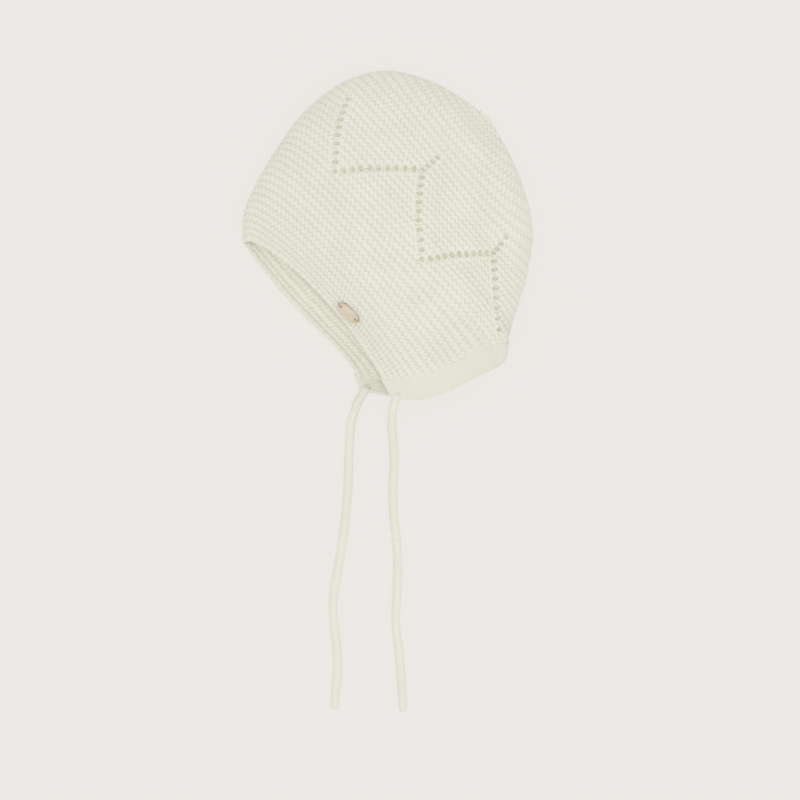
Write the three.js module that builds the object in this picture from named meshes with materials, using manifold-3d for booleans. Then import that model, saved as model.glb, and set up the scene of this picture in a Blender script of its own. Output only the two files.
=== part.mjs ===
// A knitted baby bonnet in garter stitch, lying on its side with its two ties laid out on the surface.
// +Z is up. +Y runs from the nape to the top of the head, and +X from the face to the back of the head.
// The upper layer is the near cheek and the lower layer, flattened on the surface, is the far one. They
// join along the fold over the head and the seam down the back, and stay open at the face and the neck.
import * as THREE from "three";
import { mergeVertices } from "three/addons/utils/BufferGeometryUtils.js";
import Module from "manifold-3d";

const wasm = await Module();
wasm.setup();

// Driving sizes, in millimetres.
const LENGTH = 175; // face to back of the head, along X
const HEIGHT = 196; // nape to top of the head, along Y
const THICKNESS = 50; // both layers and the hollow, along Z
const WALL = 3; // thickness of the garter-stitch fabric
const MOUTH_GAP = 15; // between the two layers at the face opening
const NECK_GAP = 10; // between the two layers at the neck opening
const PRESS = 4; // how much of the lower layer's belly the surface has flattened
const EYELET_WIDTH = 2.8; // hole across flats
const BAND_GAP = 0.3; // between the knitted-on neck band and the body
const TIE_DIAMETER = 5.2;
const TIE_END_ROUNDING = 1.6; // how far a tie's free end narrows
const TIE_SEAT = 0.05; // between a tie's start and the band's edge, which it meets face to face
const TAG_LENGTH = 15;
const TAG_WIDTH = 6.8;
const TAG_THICKNESS = 0.9;
const TAG_GAP = 0.35; // between the plate and the highest point of the knit under it
const TAG_HOLE_DIAMETER = 1.6;
const TAG_HOLE_INSET = 1.9; // hole centre from the plate's tip
const THREAD_DIAMETER = 0.8;
const THREAD_RISE = 0.3; // clear space between the thread and the plate's top
const THREAD_GAP = 0.5; // between the middle of a thread's end and the knit

const HALF_LENGTH = LENGTH / 2;
const HALF_HEIGHT = HEIGHT / 2;

// The knitting: ridges of garter stitch run parallel to the face edge and are counted from it to the crown.
const RIDGES = 39;
const FOLD_STITCHES = 33.5; // stitches between the column of the middle zigzag corner and the fold
const CORNER_RIDGE = 15.7; // ridge of the zigzag's front corners
const ZIGZAG_RIDGES = 10; // one eyelet on each ridge of a leg
const TAIL_EYELETS = 4; // eyelets that go on up each line of decreases
const TAIL_LEAN = 0.1; // stitches that each of them lies nearer the middle column than the one before
const MIDDLE_COLUMN = 0.587; // share of the way from fold to edge where the middle corner's column runs
const COLUMN_DRIFT = 0.28; // stitches that a column moves away from the fold per ridge
const LAYER_SHIFT = 0.03; // how much nearer the fold the lower layer's middle column lies
const NAPE = 0.4; // share of the ridges where the neck edge ends and the back seam starts

// One row for each of the equal steps from the face edge to the crown. foldX and foldY are where that ridge
// crosses the fold, edgeX and edgeY where it reaches the neck edge or the back seam, as shares of
// HALF_LENGTH and HALF_HEIGHT. bow, lean and tuck are how far the ridge bulges towards the crown, all along,
// close to the fold and close to the edge, as shares of HALF_HEIGHT. foldZ is the height of the fold, as a
// share of THICKNESS, and crest how far the ridge's highest point has come from the face edge's height
// to THICKNESS.
const COLUMNS = ["foldX", "foldY", "edgeX", "edgeY", "bow", "lean", "tuck", "foldZ", "crest"];
const STATIONS = [
  [-0.984, -0.049, 0.038, -0.986, 0.066, 0.056, 0, 0.21, 0],
  [-0.984, 0.112, 0.243, -0.998, 0.046, 0.067, 0, 0.25, 0.36],
  [-0.921, 0.269, 0.442, -0.937, 0.024, 0.083, 0.006, 0.29, 0.66],
  [-0.828, 0.419, 0.627, -0.86, 0, 0.098, 0.018, 0.32, 0.85],
  [-0.727, 0.56, 0.809, -0.771, -0.015, 0.104, 0.043, 0.34, 0.95],
  [-0.6, 0.713, 0.847, -0.588, -0.015, 0.086, 0.031, 0.36, 1],
  [-0.442, 0.845, 0.909, -0.407, -0.006, 0.049, 0, 0.36, 1],
  [-0.243, 0.952, 0.963, -0.239, -0.006, 0.018, -0.024, 0.36, 0.98],
  [0.024, 1.001, 0.998, 0.055, -0.049, 0, -0.024, 0.36, 0.9],
  [0.36, 0.915, 0.891, 0.398, -0.043, 0, 0, 0.36, 0.7],
  [0.703, 0.722, 0.703, 0.722, 0, 0, 0, 0.36, 0.36],
];

// How far the lower layer has slipped towards the face at the neck corner, as shares of HALF_LENGTH and
// HALF_HEIGHT, and how much its bulges differ there. All of it fades out towards the nape.
const SLIP = { x: -0.212, y: 0.043, bow: -0.078, lean: -0.056, tuck: 0.052 };

// The soft hollows and swells of the upper layer, each an oval patch. x and y are shares of HALF_LENGTH and
// HALF_HEIGHT, along and across the patch's reach as shares of HALF_HEIGHT, turn its angle in degrees
// from +X, and depth how far it goes down (or up, if negative) as a share of THICKNESS.
const DENTS = [
  { x: 0.5, y: 0.55, along: 0.28, across: 0.075, turn: -56, depth: 0.045 },
  { x: 0.7, y: 0.12, along: 0.36, across: 0.08, turn: -88, depth: 0.07 },
  { x: 0.63, y: -0.48, along: 0.26, across: 0.085, turn: 66, depth: 0.05 },
  { x: 0.28, y: -0.78, along: 0.3, across: 0.07, turn: 20, depth: 0.03 },
  { x: -0.45, y: 0.2, along: 0.3, across: 0.16, turn: -50, depth: 0.03 },
  { x: 0.12, y: -0.66, along: 0.16, across: 0.12, turn: -48, depth: -0.02 },
];

// Where the neck band starts, from the face to the back, as shares of HALF_LENGTH and HALF_HEIGHT.
const BAND_TOP = [
  { x: -0.6, y: -0.8 },
  { x: -0.15, y: -0.865 },
  { x: 0.085, y: -0.885 },
  { x: 0.255, y: -0.855 },
  { x: 0.485, y: -0.773 },
  { x: 0.64, y: -0.698 },
  { x: 0.82, y: -0.66 },
  { x: 1.2, y: -0.62 },
];

// Routes of the ties in plan, from just outside the band to the free end, in millimetres from the middle
// of the body. The near one comes down from the upper layer and the far one lies on the surface.
const NEAR_TIE = [
  [4.1, -103], [3.4, -110], [3.2, -117], [3.9, -123], [4.5, -131], [4.5, -140], [3.9, -150],
  [4.0, -162], [4.7, -173], [6.0, -184], [6.7, -196], [6.6, -208], [6.1, -219], [5.5, -230], [6.2, -241],
  [7.6, -251], [8.4, -261], [9.1, -271], [9.7, -280], [10.1, -287.5],
];
const FAR_TIE = [
  [-16.7, -99], [-19.2, -105.5], [-21.2, -112.5], [-22.1, -121], [-22.7, -132], [-23.0, -144],
  [-23.5, -156], [-24.6, -168], [-26.0, -180], [-27.8, -192], [-29.7, -203], [-31.6, -214], [-32.2, -223],
  [-31.6, -234], [-30.4, -245], [-29.7, -256], [-29.9, -266], [-30.8, -276], [-31.4, -286],
];
const DROP = 5; // route points over which the near tie comes down
const TIE_REST = TIE_DIAMETER / 2 + 0.1; // height of a tie's middle where it lies on the surface
const TAG = { ridge: 0.064, across: 0.567 }; // where its middle is, as shares from face edge and from fold
const TAG_LEVELLED = 0.65; // how far the stiff plate turns from the knit's slope towards lying level
const TAG_TURN = 8; // degrees from the ridge that it lies on, towards the crown
const TAG_SQUARENESS = 2.5; // power of its outline, 2 for an ellipse and more for blunter tips
const TAG_OUTLINE_STEPS = 40;

const lerp = THREE.MathUtils.lerp;
const smoothstep = THREE.MathUtils.smoothstep;

// The station table at share s of the ridges, through its rows as a Catmull-Rom curve.
function stationAt(s) {
  const last = STATIONS.length - 1;
  const at = THREE.MathUtils.clamp(s, 0, 1) * last;
  const i = Math.min(Math.floor(at), last - 1);
  const t = at - i;
  const station = {};
  COLUMNS.forEach((column, c) => {
    const from = STATIONS[i][c];
    const change = STATIONS[i + 1][c] - from;
    const start = i > 0 ? (STATIONS[i + 1][c] - STATIONS[i - 1][c]) / 2 : change;
    const end = i < last - 1 ? (STATIONS[i + 2][c] - from) / 2 : change;
    const cubic = start + end - 2 * change;
    const square = change - start - cubic;
    station[column] = from + t * (start + t * (square + t * cubic));
  });
  return station;
}

// How far the dents lower the upper layer at a point in plan.
function dentDepth(x, y) {
  let depth = 0;
  for (const dent of DENTS) {
    const dx = x - dent.x * HALF_LENGTH;
    const dy = y - dent.y * HALF_HEIGHT;
    const turn = THREE.MathUtils.degToRad(dent.turn);
    const along = (dx * Math.cos(turn) + dy * Math.sin(turn)) / (dent.along * HALF_HEIGHT);
    const across = (dy * Math.cos(turn) - dx * Math.sin(turn)) / (dent.across * HALF_HEIGHT);
    depth += dent.depth * THICKNESS * Math.exp(-along * along - across * across);
  }
  return depth;
}

const LIP_TOP = 2 * WALL + MOUTH_GAP; // upper layer's top at the face edge
const NECK_TOP = 2 * WALL + NECK_GAP; // and at the neck edge
const RISE_SHARE = 0.5; // share of a ridge over which the upper layer rises from either end
const ROLL_SHARE = 0.16; // and over which the lower layer rolls down onto the surface
const ROUND = 0.42; // how steeply a layer leaves the fold and the seam; 1 would be a slope

// 0 at the end of a ridge, rising to 1 at a given share of its length from there.
function rise(fromEnd, share, roundness) {
  return (1 - Math.max(0, 1 - fromEnd / share) ** 2) ** roundness;
}

// 0 at both ends of a ridge and 1 half way.
function hump(across) {
  return 4 * across * (1 - across);
}

// The outer skin. u runs from -1, the lower layer's edge, through 0, the fold, to 1, the upper layer's edge.
function outerPoint(u, s) {
  const station = stationAt(s);
  const upper = u >= 0;
  const across = (1 - Math.cos(Math.PI * Math.abs(u))) / 2;
  const unsealed = Math.max(0, 1 - s / NAPE);
  const slip = upper ? 0 : unsealed * unsealed;
  const foldX = station.foldX * HALF_LENGTH;
  const foldY = station.foldY * HALF_HEIGHT;
  const spanX = (station.edgeX + SLIP.x * slip) * HALF_LENGTH - foldX;
  const spanY = (station.edgeY + SLIP.y * slip) * HALF_HEIGHT - foldY;
  const span = Math.hypot(spanX, spanY) || 1;
  const bow = (station.bow + SLIP.bow * slip) * hump(across);
  const lean = (station.lean + SLIP.lean * slip) * hump(across ** 0.43);
  const tuck = (station.tuck + SLIP.tuck * slip) * hump(across ** 3.1);
  const bulge = (bow + lean + tuck) * HALF_HEIGHT;
  const x = foldX + spanX * across - (spanY / span) * bulge;
  const y = foldY + spanY * across + (spanX / span) * bulge;
  const foldZ = station.foldZ * THICKNESS;
  const open = Math.sqrt(1 - Math.min(1, s / NAPE) ** 4);
  if (upper) {
    const rim = lerp(foldZ, lerp(foldZ, NECK_TOP, open), across);
    const shut = smoothstep(s, 0.8, 1);
    const top = lerp(lerp(LIP_TOP, THICKNESS, station.crest), foldZ, shut * shut);
    const puff = rise(across, RISE_SHARE, ROUND) * rise(1 - across, RISE_SHARE, lerp(ROUND, 1, open));
    return new THREE.Vector3(x, y, lerp(rim, top, puff) - dentDepth(x, y) * puff * puff);
  }
  const rim = lerp(foldZ, foldZ * (1 - open), across);
  const roll = rise(across, ROLL_SHARE, ROUND) * rise(1 - across, ROLL_SHARE, ROUND);
  return new THREE.Vector3(x, y, Math.max(0, lerp(rim, -PRESS, roll)));
}

const STEP = 1e-3; // parameter step for directions on the skin

// The point one step along u, which runs on over the back seam but stops at the neck edge.
function steppedPoint(u, s) {
  if (Math.abs(u) > 1) u = s >= NAPE ? u - 2 * Math.sign(u) : Math.sign(u);
  return outerPoint(u, s);
}

// The skin's outward normal.
function outwardNormal(u, s) {
  if (s > 1 - STEP) {
    const crown = outerPoint(0, 1);
    const before = stationAt(1 - 20 * STEP);
    const middleX = ((before.foldX + before.edgeX) / 2) * HALF_LENGTH;
    const middleY = ((before.foldY + before.edgeY) / 2) * HALF_HEIGHT;
    return new THREE.Vector3(crown.x - middleX, crown.y - middleY, 0).normalize();
  }
  const alongU = steppedPoint(u + STEP, s).sub(steppedPoint(u - STEP, s));
  const onSeam = Math.abs(u) > 1 - STEP && s >= NAPE;
  const before = onSeam ? Math.max(s - STEP, NAPE) : Math.max(s - STEP, 0);
  const alongS = outerPoint(u, s + STEP).sub(outerPoint(u, before));
  return alongU.cross(alongS).normalize();
}

// A point of the fabric, at a share of the wall's depth from the outer skin.
function fabricPoint(u, s, depth) {
  return outerPoint(u, s).addScaledVector(outwardNormal(u, s), -depth * WALL);
}

// A triangle soup, given as arrays of three points, as one closed BufferGeometry.
function closedGeometry(triangles) {
  const soup = new THREE.BufferGeometry().setFromPoints(triangles.flat());
  const merged = mergeVertices(soup, 1e-4);
  const kept = [];
  for (let i = 0; i < merged.index.count; i += 3) {
    const [a, b, c] = [0, 1, 2].map((k) => merged.index.getX(i + k));
    if (a !== b && b !== c && c !== a) kept.push(a, b, c);
  }
  return merged.setIndex(kept);
}

const SKIN_U = 48; // steps round both layers
const SKIN_S = 22; // steps from the face edge to the crown

// Both skins of the fabric, joined at the face edge and the neck edge, as one closed shell.
function shellGeometry() {
  const triangles = [];
  const quad = (a, b, c, d) => triangles.push([a, b, c], [a, c, d]);
  const shares = Array.from({ length: SKIN_S + 1 }, (_, j) => j / SKIN_S);
  const napeRow = Math.round(NAPE * SKIN_S);
  shares[napeRow] = NAPE;
  const pointAt = (i, j, depth) => {
    const sewn = j >= napeRow && i === SKIN_U;
    const u = j === SKIN_S ? 0 : (2 * i) / SKIN_U - 1;
    return fabricPoint(sewn ? -1 : u, shares[j], depth);
  };
  const columns = Array.from({ length: SKIN_U + 1 }, (_, i) => i);
  const skin = (depth) => columns.map((i) => shares.map((_, j) => pointAt(i, j, depth)));
  const outer = skin(0);
  const inner = skin(1);
  for (let i = 0; i < SKIN_U; i++) {
    for (let j = 0; j < SKIN_S; j++) {
      quad(outer[i][j], outer[i + 1][j], outer[i + 1][j + 1], outer[i][j + 1]);
      quad(inner[i][j], inner[i][j + 1], inner[i + 1][j + 1], inner[i + 1][j]);
    }
    quad(outer[i][0], inner[i][0], inner[i + 1][0], outer[i + 1][0]);
  }
  for (let j = 0; j < napeRow; j++) {
    quad(outer[0][j], outer[0][j + 1], inner[0][j + 1], inner[0][j]);
    quad(outer[SKIN_U][j], inner[SKIN_U][j], inner[SKIN_U][j + 1], outer[SKIN_U][j + 1]);
  }
  return closedGeometry(triangles);
}

function solidFrom(geometry) {
  const bare = new THREE.BufferGeometry().setAttribute("position", geometry.getAttribute("position"));
  if (geometry.index) bare.setIndex(geometry.index);
  const merged = mergeVertices(bare, 1e-4);
  const vertProperties = new Float32Array(merged.getAttribute("position").array);
  const mesh = new wasm.Mesh({ numProp: 3, vertProperties, triVerts: new Uint32Array(merged.index.array) });
  return new wasm.Manifold(mesh);
}

function geometryFrom(solid) {
  const { vertProperties, triVerts, numProp } = solid.getMesh();
  const positions = [];
  for (let i = 0; i < vertProperties.length; i += numProp) positions.push(...vertProperties.slice(i, i + 3));
  const geometry = new THREE.BufferGeometry();
  geometry.setAttribute("position", new THREE.Float32BufferAttribute(positions, 3));
  geometry.setIndex(Array.from(triVerts));
  geometry.computeVertexNormals();
  return geometry;
}

const ARC_STEPS = 160;

// u for a stitch counted from the middle column along one ridge of a layer (side 1 upper, -1 lower).
function uOfStitch(stitch, ridge, side) {
  const s = ridge / RIDGES;
  const column = side > 0 ? MIDDLE_COLUMN : MIDDLE_COLUMN - LAYER_SHIFT;
  const middleU = Math.acos(1 - 2 * column) / Math.PI;
  const lengths = [0];
  let previous = outerPoint(0, s);
  for (let i = 1; i <= ARC_STEPS; i++) {
    const point = outerPoint((side * i) / ARC_STEPS, s);
    lengths.push(lengths[i - 1] + point.distanceTo(previous));
    previous = point;
  }
  const lengthAt = (u) => {
    const i = Math.min(Math.floor(u * ARC_STEPS), ARC_STEPS - 1);
    return lerp(lengths[i], lengths[i + 1], u * ARC_STEPS - i);
  };
  const middle = lengthAt(middleU);
  const drift = COLUMN_DRIFT * (ridge - CORNER_RIDGE);
  const wanted = middle + (stitch + drift) * stitchWidth(ridge, side, middle);
  const i = lengths.findIndex((length) => length >= wanted);
  if (i < 1) return i === 0 ? 0 : side;
  return (side * (i - 1 + (wanted - lengths[i - 1]) / (lengths[i] - lengths[i - 1]))) / ARC_STEPS;
}

// Up to the zigzag's back corners every ridge has the same stitches from the middle column to the fold.
let crownStitch = {};
function stitchWidth(ridge, side, middleLength) {
  const backCorners = CORNER_RIDGE + ZIGZAG_RIDGES;
  if (ridge <= backCorners) return (crownStitch[side] = middleLength / FOLD_STITCHES);
  return crownStitch[side];
}

// Every eyelet of one layer, as ridge and stitch. The zigzag's corners are ZIGZAG_RIDGES stitches apart, and
// each line of decreases runs from a back corner towards the crown.
function eyeletsOfLayer() {
  const eyelets = [];
  for (const corner of [-2 * ZIGZAG_RIDGES, 0]) {
    for (let k = 0; k < ZIGZAG_RIDGES; k++) {
      eyelets.push([CORNER_RIDGE + k, corner + k]);
      if (k > 0) eyelets.push([CORNER_RIDGE + k, corner - k]);
    }
  }
  for (let k = 2; k < ZIGZAG_RIDGES; k++) eyelets.push([CORNER_RIDGE + k, 2 * ZIGZAG_RIDGES - k]);
  for (let k = 0; k < TAIL_EYELETS; k++) {
    const stitch = ZIGZAG_RIDGES - TAIL_LEAN * k;
    for (const side of [-1, 1]) eyelets.push([CORNER_RIDGE + ZIGZAG_RIDGES + k, side * stitch]);
  }
  return eyelets.sort((a, b) => a[0] - b[0]);
}

// A six-sided cutter through the fabric at one eyelet.
function eyeletCutter(u, s) {
  const radius = EYELET_WIDTH / 2 / Math.cos(Math.PI / 6);
  const cutter = new THREE.CylinderGeometry(radius, radius, 2.2 * WALL, 6);
  const turn = new THREE.Quaternion().setFromUnitVectors(new THREE.Vector3(0, 1, 0), outwardNormal(u, s));
  const centre = fabricPoint(u, s, 0.5);
  cutter.applyQuaternion(turn).translate(centre.x, centre.y, centre.z);
  return solidFrom(cutter);
}

function allEyeletCutters() {
  let cutters = null;
  for (const side of [1, -1]) {
    for (const [ridge, stitch] of eyeletsOfLayer()) {
      const cutter = eyeletCutter(uOfStitch(stitch, ridge, side), ridge / RIDGES);
      cutters = cutters ? cutters.add(cutter) : cutter;
    }
  }
  return cutters;
}

// A block under the band's top line, lowered by a clearance, that tells the band from the body.
function bandRegion(clearance) {
  const line = new THREE.SplineCurve(
    BAND_TOP.map(({ x, y }) => new THREE.Vector2(x * HALF_LENGTH, y * HALF_HEIGHT - clearance)),
  );
  const shape = new THREE.Shape(line.getPoints(28));
  shape.lineTo(1.2 * HALF_LENGTH, -1.5 * HALF_HEIGHT);
  shape.lineTo(-0.6 * HALF_LENGTH, -1.5 * HALF_HEIGHT);
  shape.closePath();
  const block = new THREE.ExtrudeGeometry(shape, { depth: 2 * THICKNESS, bevelEnabled: false });
  return solidFrom(block.translate(0, 0, -THICKNESS / 2));
}

const knitColour = new THREE.Color().setRGB(0.9, 0.89, 0.8, THREE.SRGBColorSpace);
const goldColour = new THREE.Color().setRGB(0.85, 0.76, 0.62, THREE.SRGBColorSpace);

const bonnet = new THREE.Group();

function addPiece(name, geometry, material) {
  const mesh = new THREE.Mesh(geometry, material);
  mesh.name = name;
  bonnet.add(mesh);
  return mesh;
}

function knitMaterial() {
  return new THREE.MeshStandardMaterial({ color: knitColour, roughness: 0.95, metalness: 0 });
}

const shell = solidFrom(shellGeometry());
const body = shell.subtract(bandRegion(0)).subtract(allEyeletCutters());
const band = shell.intersect(bandRegion(BAND_GAP));

// Where a layer's tie starts, at the end of the band by the face, and the way that it points there.
function tieExit(side) {
  const share = 1 / SKIN_S;
  const skins = [0, 1].map((depth) => [0, share].map((s) => fabricPoint(side, s, depth)));
  const outer = skins[0];
  const edge = outer[1].clone().sub(outer[0]).setZ(0);
  const inset = TIE_DIAMETER / 2 / edge.length();
  const forward = new THREE.Vector3(-edge.y, edge.x, 0).normalize().multiplyScalar(-Math.sign(edge.x));
  const ends = skins.map(([start, next]) => start.clone().lerp(next, inset));
  const start = ends[0].clone().lerp(ends[1], 0.5);
  const reach = Math.max(...ends.map((end) => end.clone().sub(start).dot(forward)));
  return { start: start.addScaledVector(forward, reach + TIE_SEAT), forward };
}

// A limp knitted cord. It starts at its own height, lies down on the surface and ends rounded.
function tieGeometry(exit, route) {
  const radius = TIE_DIAMETER / 2;
  const startHeight = Math.max(exit.start.z, TIE_REST);
  exit.start.z = startHeight;
  const points = route.map(([x, y], i) => {
    return new THREE.Vector3(x, y, lerp(startHeight, TIE_REST, smoothstep(i + 1, 0, DROP)));
  });
  const path = new THREE.CatmullRomCurve3([exit.start, ...points]);
  const length = path.getLength();
  const steps = 44;
  const sides = 9;
  const stops = Array.from({ length: steps }, (_, i) => (i / steps) * (length - TIE_END_ROUNDING));
  stops.push(length - TIE_END_ROUNDING, length - TIE_END_ROUNDING / 3, length);
  const rings = stops.map((stop, i) => {
    const past = Math.max(0, (stop - length) / TIE_END_ROUNDING + 1);
    const ringRadius = radius * Math.sqrt(1 - (0.85 * past) ** 2);
    const centre = path.getPointAt(stop / length);
    const forward = i === 0 ? exit.forward : path.getTangentAt(stop / length);
    const sideways = new THREE.Vector3(-forward.y, forward.x, 0).normalize();
    const up = forward.clone().cross(sideways);
    return Array.from({ length: sides }, (_, k) => {
      const angle = (2 * Math.PI * k) / sides;
      const offset = sideways.clone().multiplyScalar(ringRadius * Math.cos(angle));
      return offset.addScaledVector(up, ringRadius * Math.sin(angle)).add(centre);
    });
  });
  const triangles = [];
  for (let i = 0; i < rings.length - 1; i++) {
    for (let k = 0; k < sides; k++) {
      const next = (k + 1) % sides;
      triangles.push([rings[i][k], rings[i][next], rings[i + 1][next]]);
      triangles.push([rings[i][k], rings[i + 1][next], rings[i + 1][k]]);
    }
  }
  const [first, end] = [rings[0], rings[rings.length - 1]];
  for (let k = 1; k < sides - 1; k++) {
    triangles.push([first[0], first[k + 1], first[k]]);
    triangles.push([end[0], end[k], end[k + 1]]);
  }
  const geometry = closedGeometry(triangles);
  geometry.computeVertexNormals();
  return geometry;
}

// The plate lies along a ridge, turned towards level and lifted until it clears the knit under it.
function tagPlacement() {
  const u = Math.acos(1 - 2 * TAG.across) / Math.PI;
  const centre = outerPoint(u, TAG.ridge);
  const up = outwardNormal(u, TAG.ridge).lerp(new THREE.Vector3(0, 0, 1), TAG_LEVELLED).normalize();
  const along = outerPoint(u + 0.02, TAG.ridge).sub(outerPoint(u - 0.02, TAG.ridge));
  along.addScaledVector(up, -along.dot(up)).normalize();
  along.applyAxisAngle(up, THREE.MathUtils.degToRad(TAG_TURN));
  const across = up.clone().cross(along);
  let lift = 0;
  for (let du = -0.1; du <= 0.1; du += 0.01) {
    for (let s = 0; s <= 0.12; s += 0.01) {
      const offset = outerPoint(u + du, s).sub(centre);
      const lengthwise = (2 * offset.dot(along)) / TAG_LENGTH;
      const widthwise = (2 * offset.dot(across)) / TAG_WIDTH;
      if (Math.hypot(lengthwise, widthwise) < 1.15) lift = Math.max(lift, offset.dot(up));
    }
  }
  const matrix = new THREE.Matrix4().makeBasis(along, across, up);
  return matrix.setPosition(centre.addScaledVector(up, lift + TAG_GAP));
}

// An oval plate with a hole near each tip, standing on its own XY plane.
function tagGeometry() {
  const edge = [];
  for (let k = 0; k < TAG_OUTLINE_STEPS; k += 1) {
    const angle = (2 * Math.PI * k) / TAG_OUTLINE_STEPS;
    const x = Math.sign(Math.cos(angle)) * Math.abs(Math.cos(angle)) ** (2 / TAG_SQUARENESS);
    const y = Math.sign(Math.sin(angle)) * Math.abs(Math.sin(angle)) ** (2 / TAG_SQUARENESS);
    edge.push(new THREE.Vector2((x * TAG_LENGTH) / 2, (y * TAG_WIDTH) / 2));
  }
  const outline = new THREE.Shape(edge);
  for (const end of [-1, 1]) {
    const holeX = end * (TAG_LENGTH / 2 - TAG_HOLE_INSET);
    outline.holes.push(new THREE.Path().absarc(holeX, 0, TAG_HOLE_DIAMETER / 2, 0, 2 * Math.PI, true));
  }
  const options = { depth: TAG_THICKNESS, curveSegments: 12, bevelEnabled: false };
  return new THREE.ExtrudeGeometry(outline, options);
}

// How far the knit lies above the plate's underside at a point of its long axis.
function knitUnderPlate(placement, x) {
  const toPlate = placement.clone().invert();
  const u = Math.acos(1 - 2 * TAG.across) / Math.PI;
  let nearest = Infinity;
  let height = 0;
  for (let du = -0.12; du <= 0.12; du += 0.004) {
    for (let s = 0; s <= 0.16; s += 0.004) {
      const point = outerPoint(u + du, s).applyMatrix4(toPlate);
      const away = Math.hypot(point.x - x, point.y);
      if (away < nearest) {
        nearest = away;
        height = point.z;
      }
    }
  }
  return height;
}

// A stitch of thread that comes up through a hole, over the plate's tip and down beside it.
function stitchGeometry(placement, end) {
  const holeX = end * (TAG_LENGTH / 2 - TAG_HOLE_INSET);
  const outsideX = end * (TAG_LENGTH / 2 + THREAD_DIAMETER);
  const top = TAG_THICKNESS + THREAD_RISE + THREAD_DIAMETER / 2;
  const path = new THREE.CatmullRomCurve3([
    new THREE.Vector3(holeX, 0, knitUnderPlate(placement, holeX) + THREAD_GAP),
    new THREE.Vector3(holeX, 0, TAG_THICKNESS),
    new THREE.Vector3(lerp(holeX, outsideX, 0.3), 0, top),
    new THREE.Vector3(lerp(holeX, outsideX, 0.8), 0, top),
    new THREE.Vector3(outsideX, 0, TAG_THICKNESS * 0.6),
    new THREE.Vector3(outsideX, 0, knitUnderPlate(placement, outsideX) + THREAD_GAP),
  ]);
  const section = new THREE.Shape().absarc(0, 0, THREAD_DIAMETER / 2, 0, 2 * Math.PI);
  const options = { extrudePath: path, steps: 10, curveSegments: 3, bevelEnabled: false };
  return new THREE.ExtrudeGeometry(section, options);
}

addPiece("knit_body", geometryFrom(body), knitMaterial());
addPiece("neck_band", geometryFrom(band), knitMaterial());
addPiece("tie_near", tieGeometry(tieExit(1), NEAR_TIE), knitMaterial());
addPiece("tie_far", tieGeometry(tieExit(-1), FAR_TIE), knitMaterial());

const placement = tagPlacement();
const metal = new THREE.MeshStandardMaterial({ color: goldColour, roughness: 0.35, metalness: 0.9 });
addPiece("tag", tagGeometry().applyMatrix4(placement), metal);
addPiece("tag_stitch_1", stitchGeometry(placement, -1).applyMatrix4(placement), knitMaterial());
addPiece("tag_stitch_2", stitchGeometry(placement, 1).applyMatrix4(placement), knitMaterial());

// The origin is on the surface, in the middle of the bonnet itself without its ties.
const extent = new THREE.Box3();
for (const piece of bonnet.children) {
  if (!piece.name.startsWith("tie")) extent.expandByObject(piece);
}
const middle = extent.getCenter(new THREE.Vector3());
for (const piece of bonnet.children) piece.geometry.translate(-middle.x, -middle.y, -extent.min.z);

export default bonnet;
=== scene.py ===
"""A knitted baby bonnet lying on its side: its stitches, edges, ties and tag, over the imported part."""
import math

import bpy
import numpy as np
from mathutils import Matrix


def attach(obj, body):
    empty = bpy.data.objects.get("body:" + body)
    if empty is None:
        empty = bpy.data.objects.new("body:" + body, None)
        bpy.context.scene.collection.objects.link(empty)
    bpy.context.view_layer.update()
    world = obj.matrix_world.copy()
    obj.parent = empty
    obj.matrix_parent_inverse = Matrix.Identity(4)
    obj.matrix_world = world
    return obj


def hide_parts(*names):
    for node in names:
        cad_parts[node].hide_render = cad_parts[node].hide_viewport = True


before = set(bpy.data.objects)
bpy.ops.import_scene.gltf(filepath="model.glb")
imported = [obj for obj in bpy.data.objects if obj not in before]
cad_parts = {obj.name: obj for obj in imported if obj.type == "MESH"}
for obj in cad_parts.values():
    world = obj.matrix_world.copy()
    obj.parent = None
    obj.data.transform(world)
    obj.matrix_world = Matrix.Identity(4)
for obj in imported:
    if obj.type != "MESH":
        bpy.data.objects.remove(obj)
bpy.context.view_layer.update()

MM = 0.001

# The part's own driving sizes in millimetres, but with finer holes and threads on the tag.
LENGTH = 175.0
HEIGHT = 196.0
THICKNESS = 50.0
WALL = 3.0
MOUTH_GAP = 15.0
NECK_GAP = 10.0
PRESS = 4.0
TIE_DIAMETER = 5.2
TAG_LENGTH = 15.0
TAG_WIDTH = 6.8
TAG_THICKNESS = 0.9
TAG_GAP = 0.35
TAG_HOLE_DIAMETER = 1.5
TAG_HOLE_INSET = 1.9
THREAD_DIAMETER = 0.5
HALF_LENGTH = LENGTH / 2
HALF_HEIGHT = HEIGHT / 2

RIDGES = 39
FOLD_STITCHES = 33.5
CORNER_RIDGE = 15.7
ZIGZAG_RIDGES = 10
TAIL_EYELETS = 4
TAIL_LEAN = 0.1
MIDDLE_COLUMN = 0.587
COLUMN_DRIFT = 0.28
LAYER_SHIFT = 0.03
NAPE = 0.4

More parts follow.
